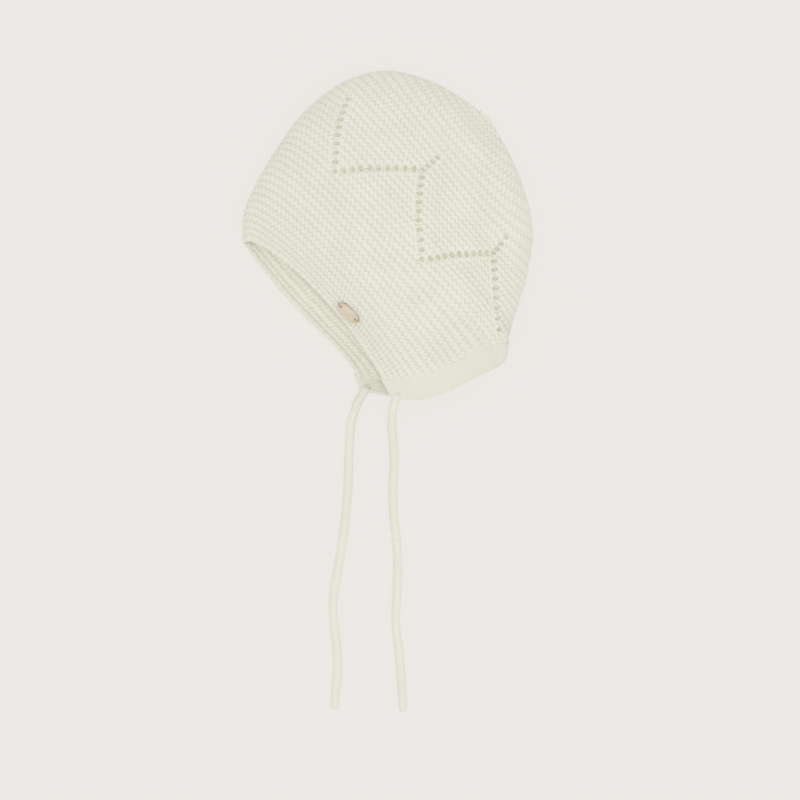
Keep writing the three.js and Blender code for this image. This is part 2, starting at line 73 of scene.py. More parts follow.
# foldX, foldY, edgeX, edgeY, bow, lean, tuck, foldZ and crest at equal steps from face edge to crown.
STATIONS = np.array([
    [-0.984, -0.049, 0.038, -0.986, 0.066, 0.056, 0, 0.21, 0],
    [-0.984, 0.112, 0.243, -0.998, 0.046, 0.067, 0, 0.25, 0.36],
    [-0.921, 0.269, 0.442, -0.937, 0.024, 0.083, 0.006, 0.29, 0.66],
    [-0.828, 0.419, 0.627, -0.86, 0, 0.098, 0.018, 0.32, 0.85],
    [-0.727, 0.56, 0.809, -0.771, -0.015, 0.104, 0.043, 0.34, 0.95],
    [-0.6, 0.713, 0.847, -0.588, -0.015, 0.086, 0.031, 0.36, 1],
    [-0.442, 0.845, 0.909, -0.407, -0.006, 0.049, 0, 0.36, 1],
    [-0.243, 0.952, 0.963, -0.239, -0.006, 0.018, -0.024, 0.36, 0.98],
    [0.024, 1.001, 0.998, 0.055, -0.049, 0, -0.024, 0.36, 0.9],
    [0.36, 0.915, 0.891, 0.398, -0.043, 0, 0, 0.36, 0.7],
    [0.703, 0.722, 0.703, 0.722, 0, 0, 0, 0.36, 0.36],
])
SLIP = {"x": -0.212, "y": 0.043, "bow": -0.078, "lean": -0.056, "tuck": 0.052}

# Soft hollows of the upper layer: x, y, along, across, turn in degrees, depth.
DENTS = [
    [0.5, 0.55, 0.28, 0.075, -56, 0.045],
    [0.7, 0.12, 0.36, 0.08, -88, 0.07],
    [0.63, -0.48, 0.26, 0.085, 66, 0.05],
    [0.28, -0.78, 0.3, 0.07, 20, 0.03],
    [-0.45, 0.2, 0.3, 0.16, -50, 0.03],
    [0.12, -0.66, 0.16, 0.12, -48, -0.02],
]
BAND_TOP = [
    [-0.6, -0.8], [-0.15, -0.865], [0.085, -0.885], [0.255, -0.855],
    [0.485, -0.773], [0.64, -0.698], [0.82, -0.66], [1.2, -0.62],
]
LIP_TOP = 2 * WALL + MOUTH_GAP
NECK_TOP = 2 * WALL + NECK_GAP
RISE_SHARE = 0.5
ROLL_SHARE = 0.16
ROUND = 0.42
EASE_FROM = 0.82

# The knitting at true size.
RIDGE_PITCH = 3.6
STITCH = 3.3
LIP_RIDGES = 1.5  # ridges that the face edge's own row takes the place of
RIDGE_HEIGHT = 0.78
YARN_RADIUS = 1.0
WAVE = 0.24
WAVE_LEAN = 0.03
FLOOR = 0.12
CELL = 64
SPLIT = 14 / RIDGES
FOLD_WRAP = 13.0
SEAM_WRAP = 12.0
TUCK_UNDER = 1.2
POLE = 0.9995
LIP_HEIGHT = 0.15
LIP_SHARES = (0.012, 0.026)
MEAN_HEIGHT = 0.62  # the height of the relief that lies on the part's own surface
LOWEST = 0.05


def smooth(x, low, high):
    t = np.clip((np.asarray(x, float) - low) / (high - low), 0, 1)
    return t * t * (3 - 2 * t)


def mix(a, b, t):
    return a + (b - a) * t


def unit(v):
    return v / np.maximum(np.linalg.norm(v, axis=-1, keepdims=True), 1e-12)


def catmull_rom(table, at):
    """Rows of a table at fractional row numbers."""
    last = len(table) - 1
    i = np.minimum(at.astype(int), last - 1)
    t = (at - i)[..., None]
    low, high = table[i], table[i + 1]
    change = high - low
    start = np.where((i > 0)[..., None], (high - table[np.maximum(i - 1, 0)]) / 2, change)
    end = np.where((i < last - 1)[..., None], (table[np.minimum(i + 2, last)] - low) / 2, change)
    cubic = start + end - 2 * change
    square = change - start - cubic
    return low + t * (start + t * (square + t * cubic))


def dent_depth(x, y):
    """How far the soft hollows lower the upper layer at a point in plan."""
    depth = 0
    for dent_x, dent_y, along_reach, across_reach, turn, share in DENTS:
        dx = x - dent_x * HALF_LENGTH
        dy = y - dent_y * HALF_HEIGHT
        angle = math.radians(turn)
        along = (dx * math.cos(angle) + dy * math.sin(angle)) / (along_reach * HALF_HEIGHT)
        across = (dy * math.cos(angle) - dx * math.sin(angle)) / (across_reach * HALF_HEIGHT)
        depth = depth + share * THICKNESS * np.exp(-along * along - across * across)
    return depth


def rise(from_end, share, roundness):
    return (1 - np.maximum(0, 1 - from_end / share) ** 2) ** roundness


def hump(across):
    return 4 * across * (1 - across)


def neck_opening(s):
    """How far the neck stands open: 1 at the face edge, easing to 0 at the nape."""
    t = np.minimum(1, s / NAPE)
    opened = np.sqrt(1 - np.minimum(t, EASE_FROM) ** 4)
    slope = -2 * EASE_FROM ** 3 / math.sqrt(1 - EASE_FROM ** 4) * (1 - EASE_FROM)
    x = np.clip((t - EASE_FROM) / (1 - EASE_FROM), 0, 1)
    return opened * (2 * x ** 3 - 3 * x ** 2 + 1) + slope * (x ** 3 - 2 * x ** 2 + x)


def outer_point(u, s):
    """The part's outer skin, in millimetres.

    u is -1 at the lower layer's edge, 0 at the fold, 1 at the upper layer's edge, and runs on over the seam.
    s is 0 at the face edge and 1 at the crown.
    """
    u, s = np.broadcast_arrays(np.asarray(u, float), np.asarray(s, float))
    u = np.where(u > 1, u - 2, u)
    row = catmull_rom(STATIONS, np.clip(s, 0, 1) * (len(STATIONS) - 1))
    fold_x, fold_y, edge_x, edge_y, bow, lean, tuck, fold_z, crest = np.moveaxis(row, -1, 0)
    upper = u >= 0
    across = (1 - np.cos(np.pi * np.abs(u))) / 2
    slip = np.where(upper, 0, np.maximum(0, 1 - s / NAPE) ** 2)
    x0 = fold_x * HALF_LENGTH
    y0 = fold_y * HALF_HEIGHT
    span_x = (edge_x + SLIP["x"] * slip) * HALF_LENGTH - x0
    span_y = (edge_y + SLIP["y"] * slip) * HALF_HEIGHT - y0
    span = np.maximum(np.hypot(span_x, span_y), 1e-9)
    bulge = (bow + SLIP["bow"] * slip) * hump(across)
    bulge = bulge + (lean + SLIP["lean"] * slip) * hump(across ** 0.43)
    bulge = bulge + (tuck + SLIP["tuck"] * slip) * hump(across ** 3.1)
    bulge = bulge * HALF_HEIGHT
    x = x0 + span_x * across - span_y / span * bulge
    y = y0 + span_y * across + span_x / span * bulge
    fold_height = fold_z * THICKNESS
    opened = neck_opening(s)
    rim = mix(fold_height, mix(fold_height, NECK_TOP, opened), across)
    shut = smooth(s, 0.8, 1)
    top = mix(mix(LIP_TOP, THICKNESS, crest), fold_height, shut * shut)
    puff = rise(across, RISE_SHARE, ROUND) * rise(1 - across, RISE_SHARE, mix(ROUND, 1, opened))
    upper_z = mix(rim, top, puff) - dent_depth(x, y) * puff * puff
    low_rim = mix(fold_height, fold_height * (1 - opened), across)
    roll = rise(across, ROLL_SHARE, ROUND) * rise(1 - across, ROLL_SHARE, ROUND)
    lower_z = np.maximum(0, mix(low_rim, -PRESS, roll))
    return np.stack([x, y, np.where(upper, upper_z, lower_z)], -1)


STEP = 1e-3


def skin_frame(u, s):
    """Unit directions on the skin: towards the crown, along the ridge, and outwards."""
    u, s = np.broadcast_arrays(np.asarray(u, float), np.asarray(s, float))
    sewn = s >= NAPE
    ahead = np.where(sewn, u + STEP, np.minimum(u + STEP, 1))
    behind = np.where(sewn & (u > -1 + STEP), u - STEP, np.maximum(u - STEP, -1))
    along = unit(outer_point(ahead, s) - outer_point(behind, s))
    forward = np.minimum(s + STEP, 1 - 1e-6)
    on_seam = sewn & (np.abs(u) > 1 - STEP)
    back = np.maximum(s - STEP, np.where(on_seam, NAPE, 0))
    crownwards = unit(outer_point(u, forward) - outer_point(u, back))
    return crownwards, along, unit(np.cross(along, crownwards))


def part_middle():
    """The middle in plan of the part's own grid of points, which its origin is under."""
    shares = np.arange(23) / 22
    shares[9] = NAPE
    flat = outer_point((np.arange(49) / 24 - 1)[:, None], shares[None, :]).reshape(-1, 3)
    return (flat.min(0) + flat.max(0)) / 2 * [1, 1, 0]


MIDDLE = part_middle()


def placed(points):
    """Points of the knit's own frame, in millimetres, as metres in the part's frame."""
    return (np.asarray(points) - MIDDLE) * MM


# Camera: straight down from far off, with the photograph's 0.6 mm a pixel at the height of the fold.
PHOTO_PIXELS = 800
PIXEL = 0.6
PHOTO_MIDDLE = [386.5, 235]
CAMERA_HEIGHT = 2.4
FOLD_LEVEL = 0.016


def add_camera():
    data = bpy.data.cameras.new("camera")
    data.sensor_width = 36
    data.lens = data.sensor_width * (CAMERA_HEIGHT - FOLD_LEVEL) / (PHOTO_PIXELS * PIXEL * MM)
    data.clip_end = 10
    camera = bpy.data.objects.new("camera", data)
    half = PHOTO_PIXELS / 2
    aim = placed([(half - PHOTO_MIDDLE[0]) * PIXEL, (PHOTO_MIDDLE[1] - half) * PIXEL, 0])
    camera.location = (aim[0], aim[1], CAMERA_HEIGHT)
    bpy.context.scene.collection.objects.link(camera)
    bpy.context.scene.camera = camera


def mesh_object(name, points, faces, material, lattice=None, cavity_shade=None, painted_glow=0, normals=None):
    """A smooth-shaded object from points in millimetres and arrays of faces with three or four corners.

    Cavity shade is painted shade, 0 on top of a stitch and 1 in a furrow, and painted glow, up to 1, is
    painted light that stands in for light through the fabric.
    Normals, where they aren't zero, take the place of the mesh's own.
    """
    faces = [np.asarray(part, np.int32) for part in faces if len(part)]
    corners = np.concatenate([part.ravel() for part in faces])
    sizes = np.concatenate([np.full(len(part), part.shape[1]) for part in faces])
    starts = np.concatenate([[0], np.cumsum(sizes)[:-1]]).astype(np.int32)
    mesh = bpy.data.meshes.new(name)
    mesh.vertices.add(len(points))
    mesh.vertices.foreach_set("co", placed(points).astype(np.float32).ravel())
    mesh.loops.add(len(corners))
    mesh.loops.foreach_set("vertex_index", corners)
    mesh.polygons.add(len(starts))
    mesh.polygons.foreach_set("loop_start", starts)
    mesh.update(calc_edges=True)
    mesh.polygons.foreach_set("use_smooth", np.ones(len(starts), bool))
    if lattice is not None:
        # The lattice attribute's third value is the painted glow.
        data = mesh.attributes.new("lattice", "FLOAT_VECTOR", "POINT").data
        flat = np.concatenate([lattice, np.broadcast_to(painted_glow, len(lattice))[:, None]], 1)
        data.foreach_set("vector", flat.astype(np.float32).ravel())
    if cavity_shade is not None:
        data = mesh.attributes.new("cavity_shade", "FLOAT", "POINT").data
        data.foreach_set("value", np.asarray(cavity_shade, np.float32).ravel())
    if normals is not None:
        mesh.normals_split_custom_set_from_vertices(normals.tolist())
    mesh.materials.append(material)
    made = bpy.data.objects.new(name, mesh)
    bpy.context.scene.collection.objects.link(made)
    return made


def stands_for(piece, node):
    """Fixes a piece to the part's one body, in place of a node's own solid."""
    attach(piece, "root")
    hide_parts(node)


def grid_faces(rows, columns, wraps=False):
    """Quads of a grid of points stored row by row, facing along columns x rows."""
    j = np.arange(rows - 1)[:, None] * columns
    i = np.arange(columns if wraps else columns - 1)[None, :]
    after = (i + 1) % columns
    return np.stack([j + i, j + after, j + columns + after, j + columns + i], -1).reshape(-1, 4)


# Soft variation that is the same in each run.
RANDOM = np.random.default_rng(7).uniform(-1, 1, (64, 64))


def soft_noise(x, y):
    """Smooth noise from -1 to 1 with a new value at each whole number."""
    x, y = np.broadcast_arrays(x, y)
    i, j = np.floor(x).astype(int), np.floor(y).astype(int)
    a, b = smooth(x - i, 0, 1), smooth(y - j, 0, 1)
    low = mix(RANDOM[i % 64, j % 64], RANDOM[(i + 1) % 64, j % 64], a)
    high = mix(RANDOM[i % 64, (j + 1) % 64], RANDOM[(i + 1) % 64, (j + 1) % 64], a)
    return mix(low, high, b)


def bead_cell():
    """Height from 0 to 1 over one stitch of garter: rows across the ridge, columns along it."""
    turn = np.linspace(0, 1, 72, endpoint=False)
    wave = np.cos(2 * np.pi * turn)
    side = np.arange(CELL) / CELL
    nearest = np.full((CELL, CELL), 9.0)
    for ahead in (-1, 0, 1):
        for beside in (-1, 0, 1):
            across = (beside - WAVE * wave)[:, None, None] - side[None, :, None]
            along = (turn + ahead + WAVE_LEAN * wave)[:, None, None] - side[None, None, :]
            nearest = np.minimum(nearest, np.hypot(across * RIDGE_PITCH, along * STITCH).min(0))
    return np.sqrt(np.clip(1 - (nearest / YARN_RADIUS) ** 2, 0, 1)) * (1 - FLOOR) + FLOOR


BEAD = bead_cell()


def garter(ridge, stitch):
    """Height of garter stitch from 0 to 1: a leaning wavy bead along each ridge."""
    wander = 0.06 * soft_noise(ridge * 0.31 + 5, stitch * 0.23) + 0.03 * soft_noise(ridge, stitch * 0.9)
    ridge = ridge + wander
    slack = 0.08 * soft_noise(ridge * 0.27, stitch * 0.19 + 9) + 0.04 * soft_noise(ridge + 30, stitch)
    stitch = stitch + slack
    row, column = ridge * CELL, stitch * CELL
    i, j = np.floor(row).astype(int), np.floor(column).astype(int)
    low = mix(BEAD[i % CELL, j % CELL], BEAD[i % CELL, (j + 1) % CELL], column - j)
    high = mix(BEAD[(i + 1) % CELL, j % CELL], BEAD[(i + 1) % CELL, (j + 1) % CELL], column - j)
    return mix(low, high, row - i) * (1 + 0.08 * soft_noise(ridge * 2 + 11, stitch * 2))


def stockinette(along, across, pitch=2.4, row=1.7):
    """Height of fine stockinette from 0 to 1, columns of V stitches running across."""
    column = along / pitch
    off = np.abs(column - np.round(column))
    leg = np.sqrt(np.clip(1 - ((off - 0.25) / 0.27) ** 2, 0, 1))
    return leg * (0.72 + 0.28 * np.cos(2 * np.pi * (across / row + 1.1 * off)))


def arc_table(shares, dense=1400):
    """u, and arc length from the fold in millimetres, along each ridge of the outer skin."""
    shares = np.asarray(shares, float)
    top = np.where(shares >= NAPE, 1.45, 1.0)[:, None]
    u = -1 + (top + 1) * np.linspace(0, 1, dense)[None, :]
    points = outer_point(u, shares[:, None])
    steps = np.linalg.norm(np.diff(points, axis=1), axis=-1)
    arc = np.concatenate([np.zeros((len(shares), 1)), np.cumsum(steps, axis=1)], 1)
    arc -= by_rows(np.zeros((len(shares), 1)), u, arc)
    return u, arc


def by_rows(wanted, xs, ys):
    """Each row of wanted, interpolated in its own rows of xs and ys."""
    wanted = np.broadcast_to(wanted, (len(xs), np.shape(wanted)[1]))
    return np.array([np.interp(*row) for row in zip(wanted, xs, ys)])


def middle_arc(table, side):
    """Arc length from the fold to the column of the zigzag's middle corner."""
    column = MIDDLE_COLUMN if side > 0 else MIDDLE_COLUMN - LAYER_SHIFT
    u = side * math.acos(1 - 2 * column) / math.pi
    return by_rows(np.full((len(table[0]), 1), u), *table)[:, 0]


BACK_CORNERS = CORNER_RIDGE + ZIGZAG_RIDGES


def crown_stitch(side):
    return abs(middle_arc(arc_table([BACK_CORNERS / RIDGES]), side)[0]) / FOLD_STITCHES


CROWN_STITCH = {side: crown_stitch(side) for side in (-1, 1)}


def stitch_width(shares, middle, side):
    return np.where(shares * RIDGES <= BACK_CORNERS, np.abs(middle) / FOLD_STITCHES, CROWN_STITCH[side])


def drift(shares):
    return COLUMN_DRIFT * (shares * RIDGES - CORNER_RIDGE)


def ridge_number(shares):
    return RIDGES * shares + LIP_RIDGES


BAND_LINE_STEPS = 400
band_line = catmull_rom(np.array(BAND_TOP), np.linspace(0, len(BAND_TOP) - 1, BAND_LINE_STEPS))
band_line = band_line * [HALF_LENGTH, HALF_HEIGHT]


def over_band(points):
    """How far above the neck band's top line points are, in plan."""
    return points[..., 1] - np.interp(points[..., 0], band_line[:, 0], band_line[:, 1])


def band_arcs(shares, table):
    """Arc length at which each ridge meets the neck band on the near and on the far side, or nan."""
    u, arc = table
    below = over_band(outer_point(u, shares[:, None])) < 0
    near, far = np.full(len(shares), np.nan), np.full(len(shares), np.nan)
    for j, row in enumerate(below):
        hits = np.flatnonzero(row & (u[j] > 0.3))
        if len(hits):
            near[j] = arc[j, hits[0]]
            after = np.flatnonzero(~row & (u[j] > u[j, hits[0]]))
            if shares[j] >= NAPE and len(after):
                far[j] = np.interp(u[j, after[0]] - 2, u[j], arc[j])
        hits = np.flatnonzero(row & (u[j] < -0.3))
        if shares[j] < NAPE and len(hits):
            far[j] = arc[j, hits[-1]]
    return near, far


class Skin:
    """Rows along the ridges, with the arc lengths at which the body's knit starts and ends on each."""

    def __init__(self, shares):
        self.shares = shares
        self.table = arc_table(shares)
        self.near_band, self.far_band = band_arcs(shares, self.table)
        self.banded = ~np.isnan(self.near_band)
        self.seam = self.arc_at(np.ones(len(shares)))
        self.far_seam = self.arc_at(-np.ones(len(shares)))
        self.middle = middle_arc(self.table, 1)
        self.stitch = stitch_width(shares, self.middle, 1)
        band_end = shares[self.banded].max()
        wrap = SEAM_WRAP * smooth(shares, band_end, band_end + 0.06)
        wrap = np.minimum(wrap, -0.25 * self.far_seam)
        past_seam = self.u_at((self.seam + wrap)[:, None])[:, 0]
        self.high = self.seam + wrap
        self.last = np.where(self.banded, self.near_band + TUCK_UNDER, np.inf)
        self.wrap = -np.minimum(FOLD_WRAP, -0.25 * self.far_seam)
        low = self.arc_at(np.clip(past_seam - 2, -1, 0))
        has_far = ~np.isnan(self.far_band)
        self.low = np.where(shares < band_end, self.far_seam, low)
        self.first = np.where(has_far, self.far_band - TUCK_UNDER, -np.inf)

    def keep(self, faces, arcs):
        """The faces of a grid that lie between the band's two top lines."""
        held = (arcs <= self.last[:, None]) & (arcs >= self.first[:, None])
        return faces[held.ravel()[faces].all(1)]

    def arc_at(self, u):
        return by_rows(np.asarray(u, float)[:, None], *self.table)[:, 0]

    def u_at(self, arcs):
        return by_rows(arcs, self.table[1], self.table[0])

    def grid(self, start, stop, columns):
        """Arc length, base points and outward directions of a grid with even columns on each row."""
        arcs = mix(start[:, None], stop[:, None], np.linspace(0, 1, columns)[None, :])
        points = outer_point(self.u_at(arcs), self.shares[:, None])
        along = np.gradient(points, axis=1)
        crownwards = np.gradient(points, axis=0)
        return arcs, points, unit(np.cross(along, crownwards))

    def lattice(self, arcs):
        stitch = (arcs - self.middle[:, None]) / self.stitch[:, None] - drift(self.shares)[:, None]
        return np.broadcast_to(ridge_number(self.shares)[:, None], stitch.shape), stitch


# Eyelets.
HOLE_ALONG = 1.15
HOLE_ACROSS = 1.9
TAIL_HOLE = (0.85, 1.6)
CORNER_HOLE = 1.35


def eyelet_stitches():
    """Ridge, stitch and lean of a layer's eyelets: lean is 1 or -1 on a leg, 0 at a corner, 2 on a tail."""
    eyelets = []
    for corner in (-2 * ZIGZAG_RIDGES, 0):
        eyelets.append((CORNER_RIDGE, corner, 0))
        for k in range(1, ZIGZAG_RIDGES):
            eyelets.append((CORNER_RIDGE + k, corner + k, 1))
            eyelets.append((CORNER_RIDGE + k, corner - k, -1))
    for k in range(2, ZIGZAG_RIDGES):
        eyelets.append((CORNER_RIDGE + k, 2 * ZIGZAG_RIDGES - k, -1))
    for k in range(TAIL_EYELETS):
        stitch = ZIGZAG_RIDGES - TAIL_LEAN * k
        eyelets += [(BACK_CORNERS + k, -stitch, 2), (BACK_CORNERS + k, stitch, 2)]
    return eyelets


def eyelets_of(side):
    """Centre, axes and half sizes of each hole of a layer, on its outer skin."""
    holes = []
    for ridge, stitch, lean in eyelet_stitches():
        shares = np.array([ridge / RIDGES])
        table = arc_table(shares)
        middle = middle_arc(table, side)
        width = stitch_width(shares, middle, side)
        arc = side * (abs(middle[0]) + (stitch + drift(shares)[0]) * width[0])
        u = np.interp(arc, table[1][0], table[0][0])
        crownwards, along, out = skin_frame(u, shares[0])
        if lean == 2:
            leg, sizes = crownwards, TAIL_HOLE
        elif lean == 0:
            leg, sizes = crownwards, (CORNER_HOLE, CORNER_HOLE)
        else:
            leg = unit(crownwards * RIDGE_PITCH + along * lean * side * STITCH)
            sizes = (HOLE_ALONG, HOLE_ACROSS)
        holes.append((outer_point(u, shares[0]), leg, unit(np.cross(out, leg)), out, sizes))
    return holes


HOLES = {side: eyelets_of(side) for side in (-1, 1)}
HOLE_REACH = 6.0
HOLE_POWER = 2.6  # 2 for an oval, more for a hole nearer a rectangle
HOLE_LIP = 0.7
HOLE_SHADE = 0.7
# Painted light: the inner skins and hole walls glow, standing in for light that comes through the fabric.
GLOW_BY_FACE = 0.6
GLOW_BEHIND_LIP = (1.2, 4)  # the far lip itself takes no painted glow
GLOW_RIDGES = (9, 15)  # over these the painted glow, standing in for light through the fabric, grows from its share by the face to full


def hole_rho(a, b):
    """1 on the rim of a hole with soft corners, from shares of its half sizes."""
    return (np.abs(a) ** HOLE_POWER + np.abs(b) ** HOLE_POWER) ** (1 / HOLE_POWER)


def hole_distance(points, holes):
    """Distance from the nearest hole's middle, 1 on its rim, and that hole's number."""
    flat = points.reshape(-1, 3)
    nearest = np.full(len(flat), 9.0)
    number = np.full(len(flat), -1)
    for n, (centre, leg, side_axis, out, sizes) in enumerate(holes):
        offset = flat - centre
        close = np.flatnonzero((offset * offset).sum(1) < HOLE_REACH ** 2)
        rho = hole_rho(offset[close] @ leg / sizes[0], offset[close] @ side_axis / sizes[1])
        better = rho < nearest[close]
        nearest[close[better]] = rho[better]
        number[close[better]] = n
    return nearest.reshape(points.shape[:-1]), number.reshape(points.shape[:-1])


def cut_holes(points, faces, rho, number, holes):
    """Cuts each hole out, brings its edge to a smooth oval and lines it through the fabric."""
    rho, number = rho.ravel(), number.ravel()
    middle_rho = rho[faces].mean(1)
    kept = middle_rho >= 1
    inside, outside = np.zeros(len(points), bool), np.zeros(len(points), bool)
    inside[faces[~kept].ravel()] = True
    outside[faces[kept].ravel()] = True
    rim = np.flatnonzero(inside & outside)
    if not len(rim):
        return points, [faces]
    points = points.copy()
    for v in rim:
        centre, leg, side_axis, out, sizes = holes[number[v]]
        offset = points[v] - centre
        a, b = offset @ leg, offset @ side_axis
        scale = 1 / max(hole_rho(a / sizes[0], b / sizes[1]), 1e-6) - 1
        points[v] += (leg * a + side_axis * b) * scale
    faces = faces[kept]
    on_rim = np.zeros(len(points), bool)
    on_rim[rim] = True
    starts = faces.ravel()
    ends = np.roll(faces, -1, axis=1).ravel()
    both = on_rim[starts] & on_rim[ends]
    starts, ends = starts[both], ends[both]
    keys = starts.astype(np.int64) * len(points) + ends
    twins = ends.astype(np.int64) * len(points) + starts
    open_edge = ~np.isin(twins, keys)
    starts, ends = starts[open_edge], ends[open_edge]
    walls = []
    above = np.arange(len(points))
    for depth in (HOLE_LIP, WALL - HOLE_LIP):
        below = np.full(len(above), -1)
        added = []
        for v in rim:
            below[v] = len(points) + len(added)
            added.append(points[above[v]] - holes[number[v]][3] * depth)
        points = np.concatenate([points, added])
        top_start, top_end = above[starts], above[ends]
        walls.append(np.stack([top_end, top_start, below[starts], below[ends]], -1))
        above = below
    return points, [faces] + walls


def pairs(a, b):
    """Two arrays that broadcast together, as a list of pairs."""
    return np.stack(np.broadcast_arrays(a, b), -1).reshape(-1, 2)


def with_walls(lattice, cavity_shade, count):
    """Lattice, cavity shade and painted glow of a layer's points, made up to the count for the walls of its
    holes, which take painted shade and full painted glow.
    """
    spare = count - len(lattice)
    lattice = np.concatenate([lattice, np.zeros((spare, 2))])
    # Painted shade on the hole walls, and below, full painted glow on them.
    cavity_shade = np.concatenate([cavity_shade.ravel(), np.full(spare, HOLE_SHADE)])
    return lattice, cavity_shade, np.arange(count) >= count - spare


def layer_shares(front_rows, back_rows):
    """Shares from face edge to crown, with rows of their own before and behind the split."""
    return np.concatenate([np.linspace(0, SPLIT, front_rows), np.linspace(SPLIT, POLE, back_rows)[1:]])


# Rows of the near layer's pieces, which share a row where they meet.
NEAR_PIECES = [("knit_near_front", 0, 150), ("knit_near_middle", 149, 252), ("knit_near_crown", 251, 370)]
NEAR_COLUMNS = 600
FAR_COLUMNS = 160


def near_layer(material):
    """The upper layer, which the photograph shows, in three pieces that meet in furrows."""
    skin = Skin(layer_shares(150, 221))
    columns = NEAR_COLUMNS
    arcs, base, out = skin.grid(skin.wrap, skin.high, columns)
    ridge, stitch = skin.lattice(arcs)
    points, cavity_shade, rho, number = dress(skin, arcs, base, out, ridge, stitch, 1)
    facing = unit(np.cross(np.gradient(points, axis=1), np.gradient(points, axis=0)))
    made = []
    for name, low, high in NEAR_PIECES:
        part = (slice(low, high), slice(None))
        flat = points[part].reshape(-1, 3)
        faces = grid_faces(high - low, columns)
        held = (arcs[part] <= skin.last[low:high, None]).ravel()
        flat, faces = cut_holes(flat, faces[held[faces].all(1)], rho[part], number[part], HOLES[1])
        walled = with_walls(pairs(ridge[part], stitch[part]), cavity_shade[part], len(flat))
        normals = np.zeros((len(flat), 3))
        normals[:columns] = facing[low]
        normals[(high - low - 1) * columns:(high - low) * columns] = facing[high - 1]
        made.append(mesh_object(name, flat, faces, material, *walled, normals))
    return made


def dress(skin, arcs, base, out, ridge, stitch, side):
    """The knit on the outer skin: displaced points, how deep each lies as cavity shade for painted shade in
    its furrows, and its distance from an eyelet.
    """
    rho, number = hole_distance(base, HOLES[side])
    height = garter(ridge, stitch)
    height = mix(LIP_HEIGHT, height, smooth(skin.shares, *LIP_SHARES)[:, None])
    furrow = decrease_furrow(skin, arcs, side)
    height = height * (1 - 0.3 * furrow)
    near_hole = 1 - smooth(rho, 1.35, 2.1)
    rim = 0.95 * smooth(rho, 1.0, 1.35) + 0.1
    height = mix(height, rim, near_hole)
    # Painted shade: lower points, and the dips round each eyelet, get a darker cream.
    cavity_shade = 1 - height
    offset = RIDGE_HEIGHT * (height - MEAN_HEIGHT) - 0.35 * furrow
    past_band = skin.near_band if side > 0 else skin.far_band
    beyond = (arcs - past_band[:, None]) * side
    beyond = np.nan_to_num(beyond, nan=-9)
    offset = mix(offset, -0.1, 0.7 * smooth(beyond, -4, 0)) - 0.9 * smooth(beyond, -0.6, TUCK_UNDER)
    offset = offset * (1 - smooth(skin.shares, 0.98, 0.999))[:, None]
    lift = 0.6 * np.clip(-out[..., 2] * 2 - 0.2, 0, 1) * (base[..., 2] < 1.5)
    points = base + out * (offset - lift)[..., None]
    points[..., 2] = np.maximum(points[..., 2], LOWEST)
    return points, cavity_shade, rho, number


def decrease_furrow(skin, arcs, side):
    """A soft line where stitches were taken together, from the zigzag's back corners to the crown."""
    shares = skin.shares
    past = (shares * RIDGES - BACK_CORNERS) / (RIDGES - BACK_CORNERS)
    depth = 0
    for sign in (-1, 1):
        stitch = sign * (ZIGZAG_RIDGES - TAIL_LEAN * np.maximum(0, shares * RIDGES - BACK_CORNERS))
        line = skin.middle + (stitch + drift(shares)) * skin.stitch
        away = arcs * side - line[:, None]
        depth = depth + np.exp(-(away / 1.5) ** 2)
    return depth * (smooth(past, 0, 0.1) * (1 - smooth(past, 0.75, 1)))[:, None]


STRAND_RADIUS = 0.36
STRAND_DEPTH = 1.3
STRAND_SIDES = 8


def ring_round(angle, sideways, up):
    """Directions round a tube at each point of its line."""
    return np.cos(angle)[None, :, None] * sideways[:, None] + np.sin(angle)[None, :, None] * up[:, None]


def eyelet_strands(name, side, material):
    """The yarn that crosses each eyelet a little under the skin, with a bend at its middle."""
    points, faces = [], []
    steps = np.linspace(-1, 1, 9)
    angle = np.arange(STRAND_SIDES) / STRAND_SIDES * 2 * np.pi
    for n, (centre, leg, side_axis, out, sizes) in enumerate(HOLES[side]):
        sway = 0.3 * RANDOM[n % 64, 3]
        aside = (0.1 + 0.55 * (1 - np.abs(steps)) * np.where(steps > sway, 1, 0.4)) * sizes[1] * 0.5
        line = centre - out * STRAND_DEPTH + leg * (steps * (sizes[0] + 0.5))[:, None]
        line = line + side_axis * (aside - 0.25 * sizes[1])[:, None]
        forward = unit(np.gradient(line, axis=0))
        across = unit(np.cross(out, forward))
        ring = ring_round(angle, across, np.broadcast_to(out, across.shape))
        faces.append(grid_faces(len(line), STRAND_SIDES, wraps=True)[:, ::-1] + n * len(line) * STRAND_SIDES)
        points.append((line[:, None] + ring * STRAND_RADIUS).reshape(-1, 3))
    flat = np.concatenate(points)
    # Painted shade: the strands under the skin take an even light shade.
    return mesh_object(name, flat, faces, material, flat[:, :2] / STITCH, np.full(len(flat), 0.45))


def far_layer(material):
    """The lower layer's outside, which lies on the surface."""
    skin = Skin(layer_shares(160, 206))
    arcs, base, out = skin.grid(skin.low, skin.wrap, FAR_COLUMNS)
    ridge, stitch = skin.lattice(arcs)
    points, cavity_shade, rho, number = dress(skin, arcs, base, out, ridge, stitch, -1)
    faces = skin.keep(grid_faces(*arcs.shape), arcs)
    flat, faces = cut_holes(points.reshape(-1, 3), faces, rho, number, HOLES[-1])
    walled = with_walls(pairs(ridge, stitch), cavity_shade, len(flat))
    return mesh_object("knit_far", flat, faces, material, *walled)


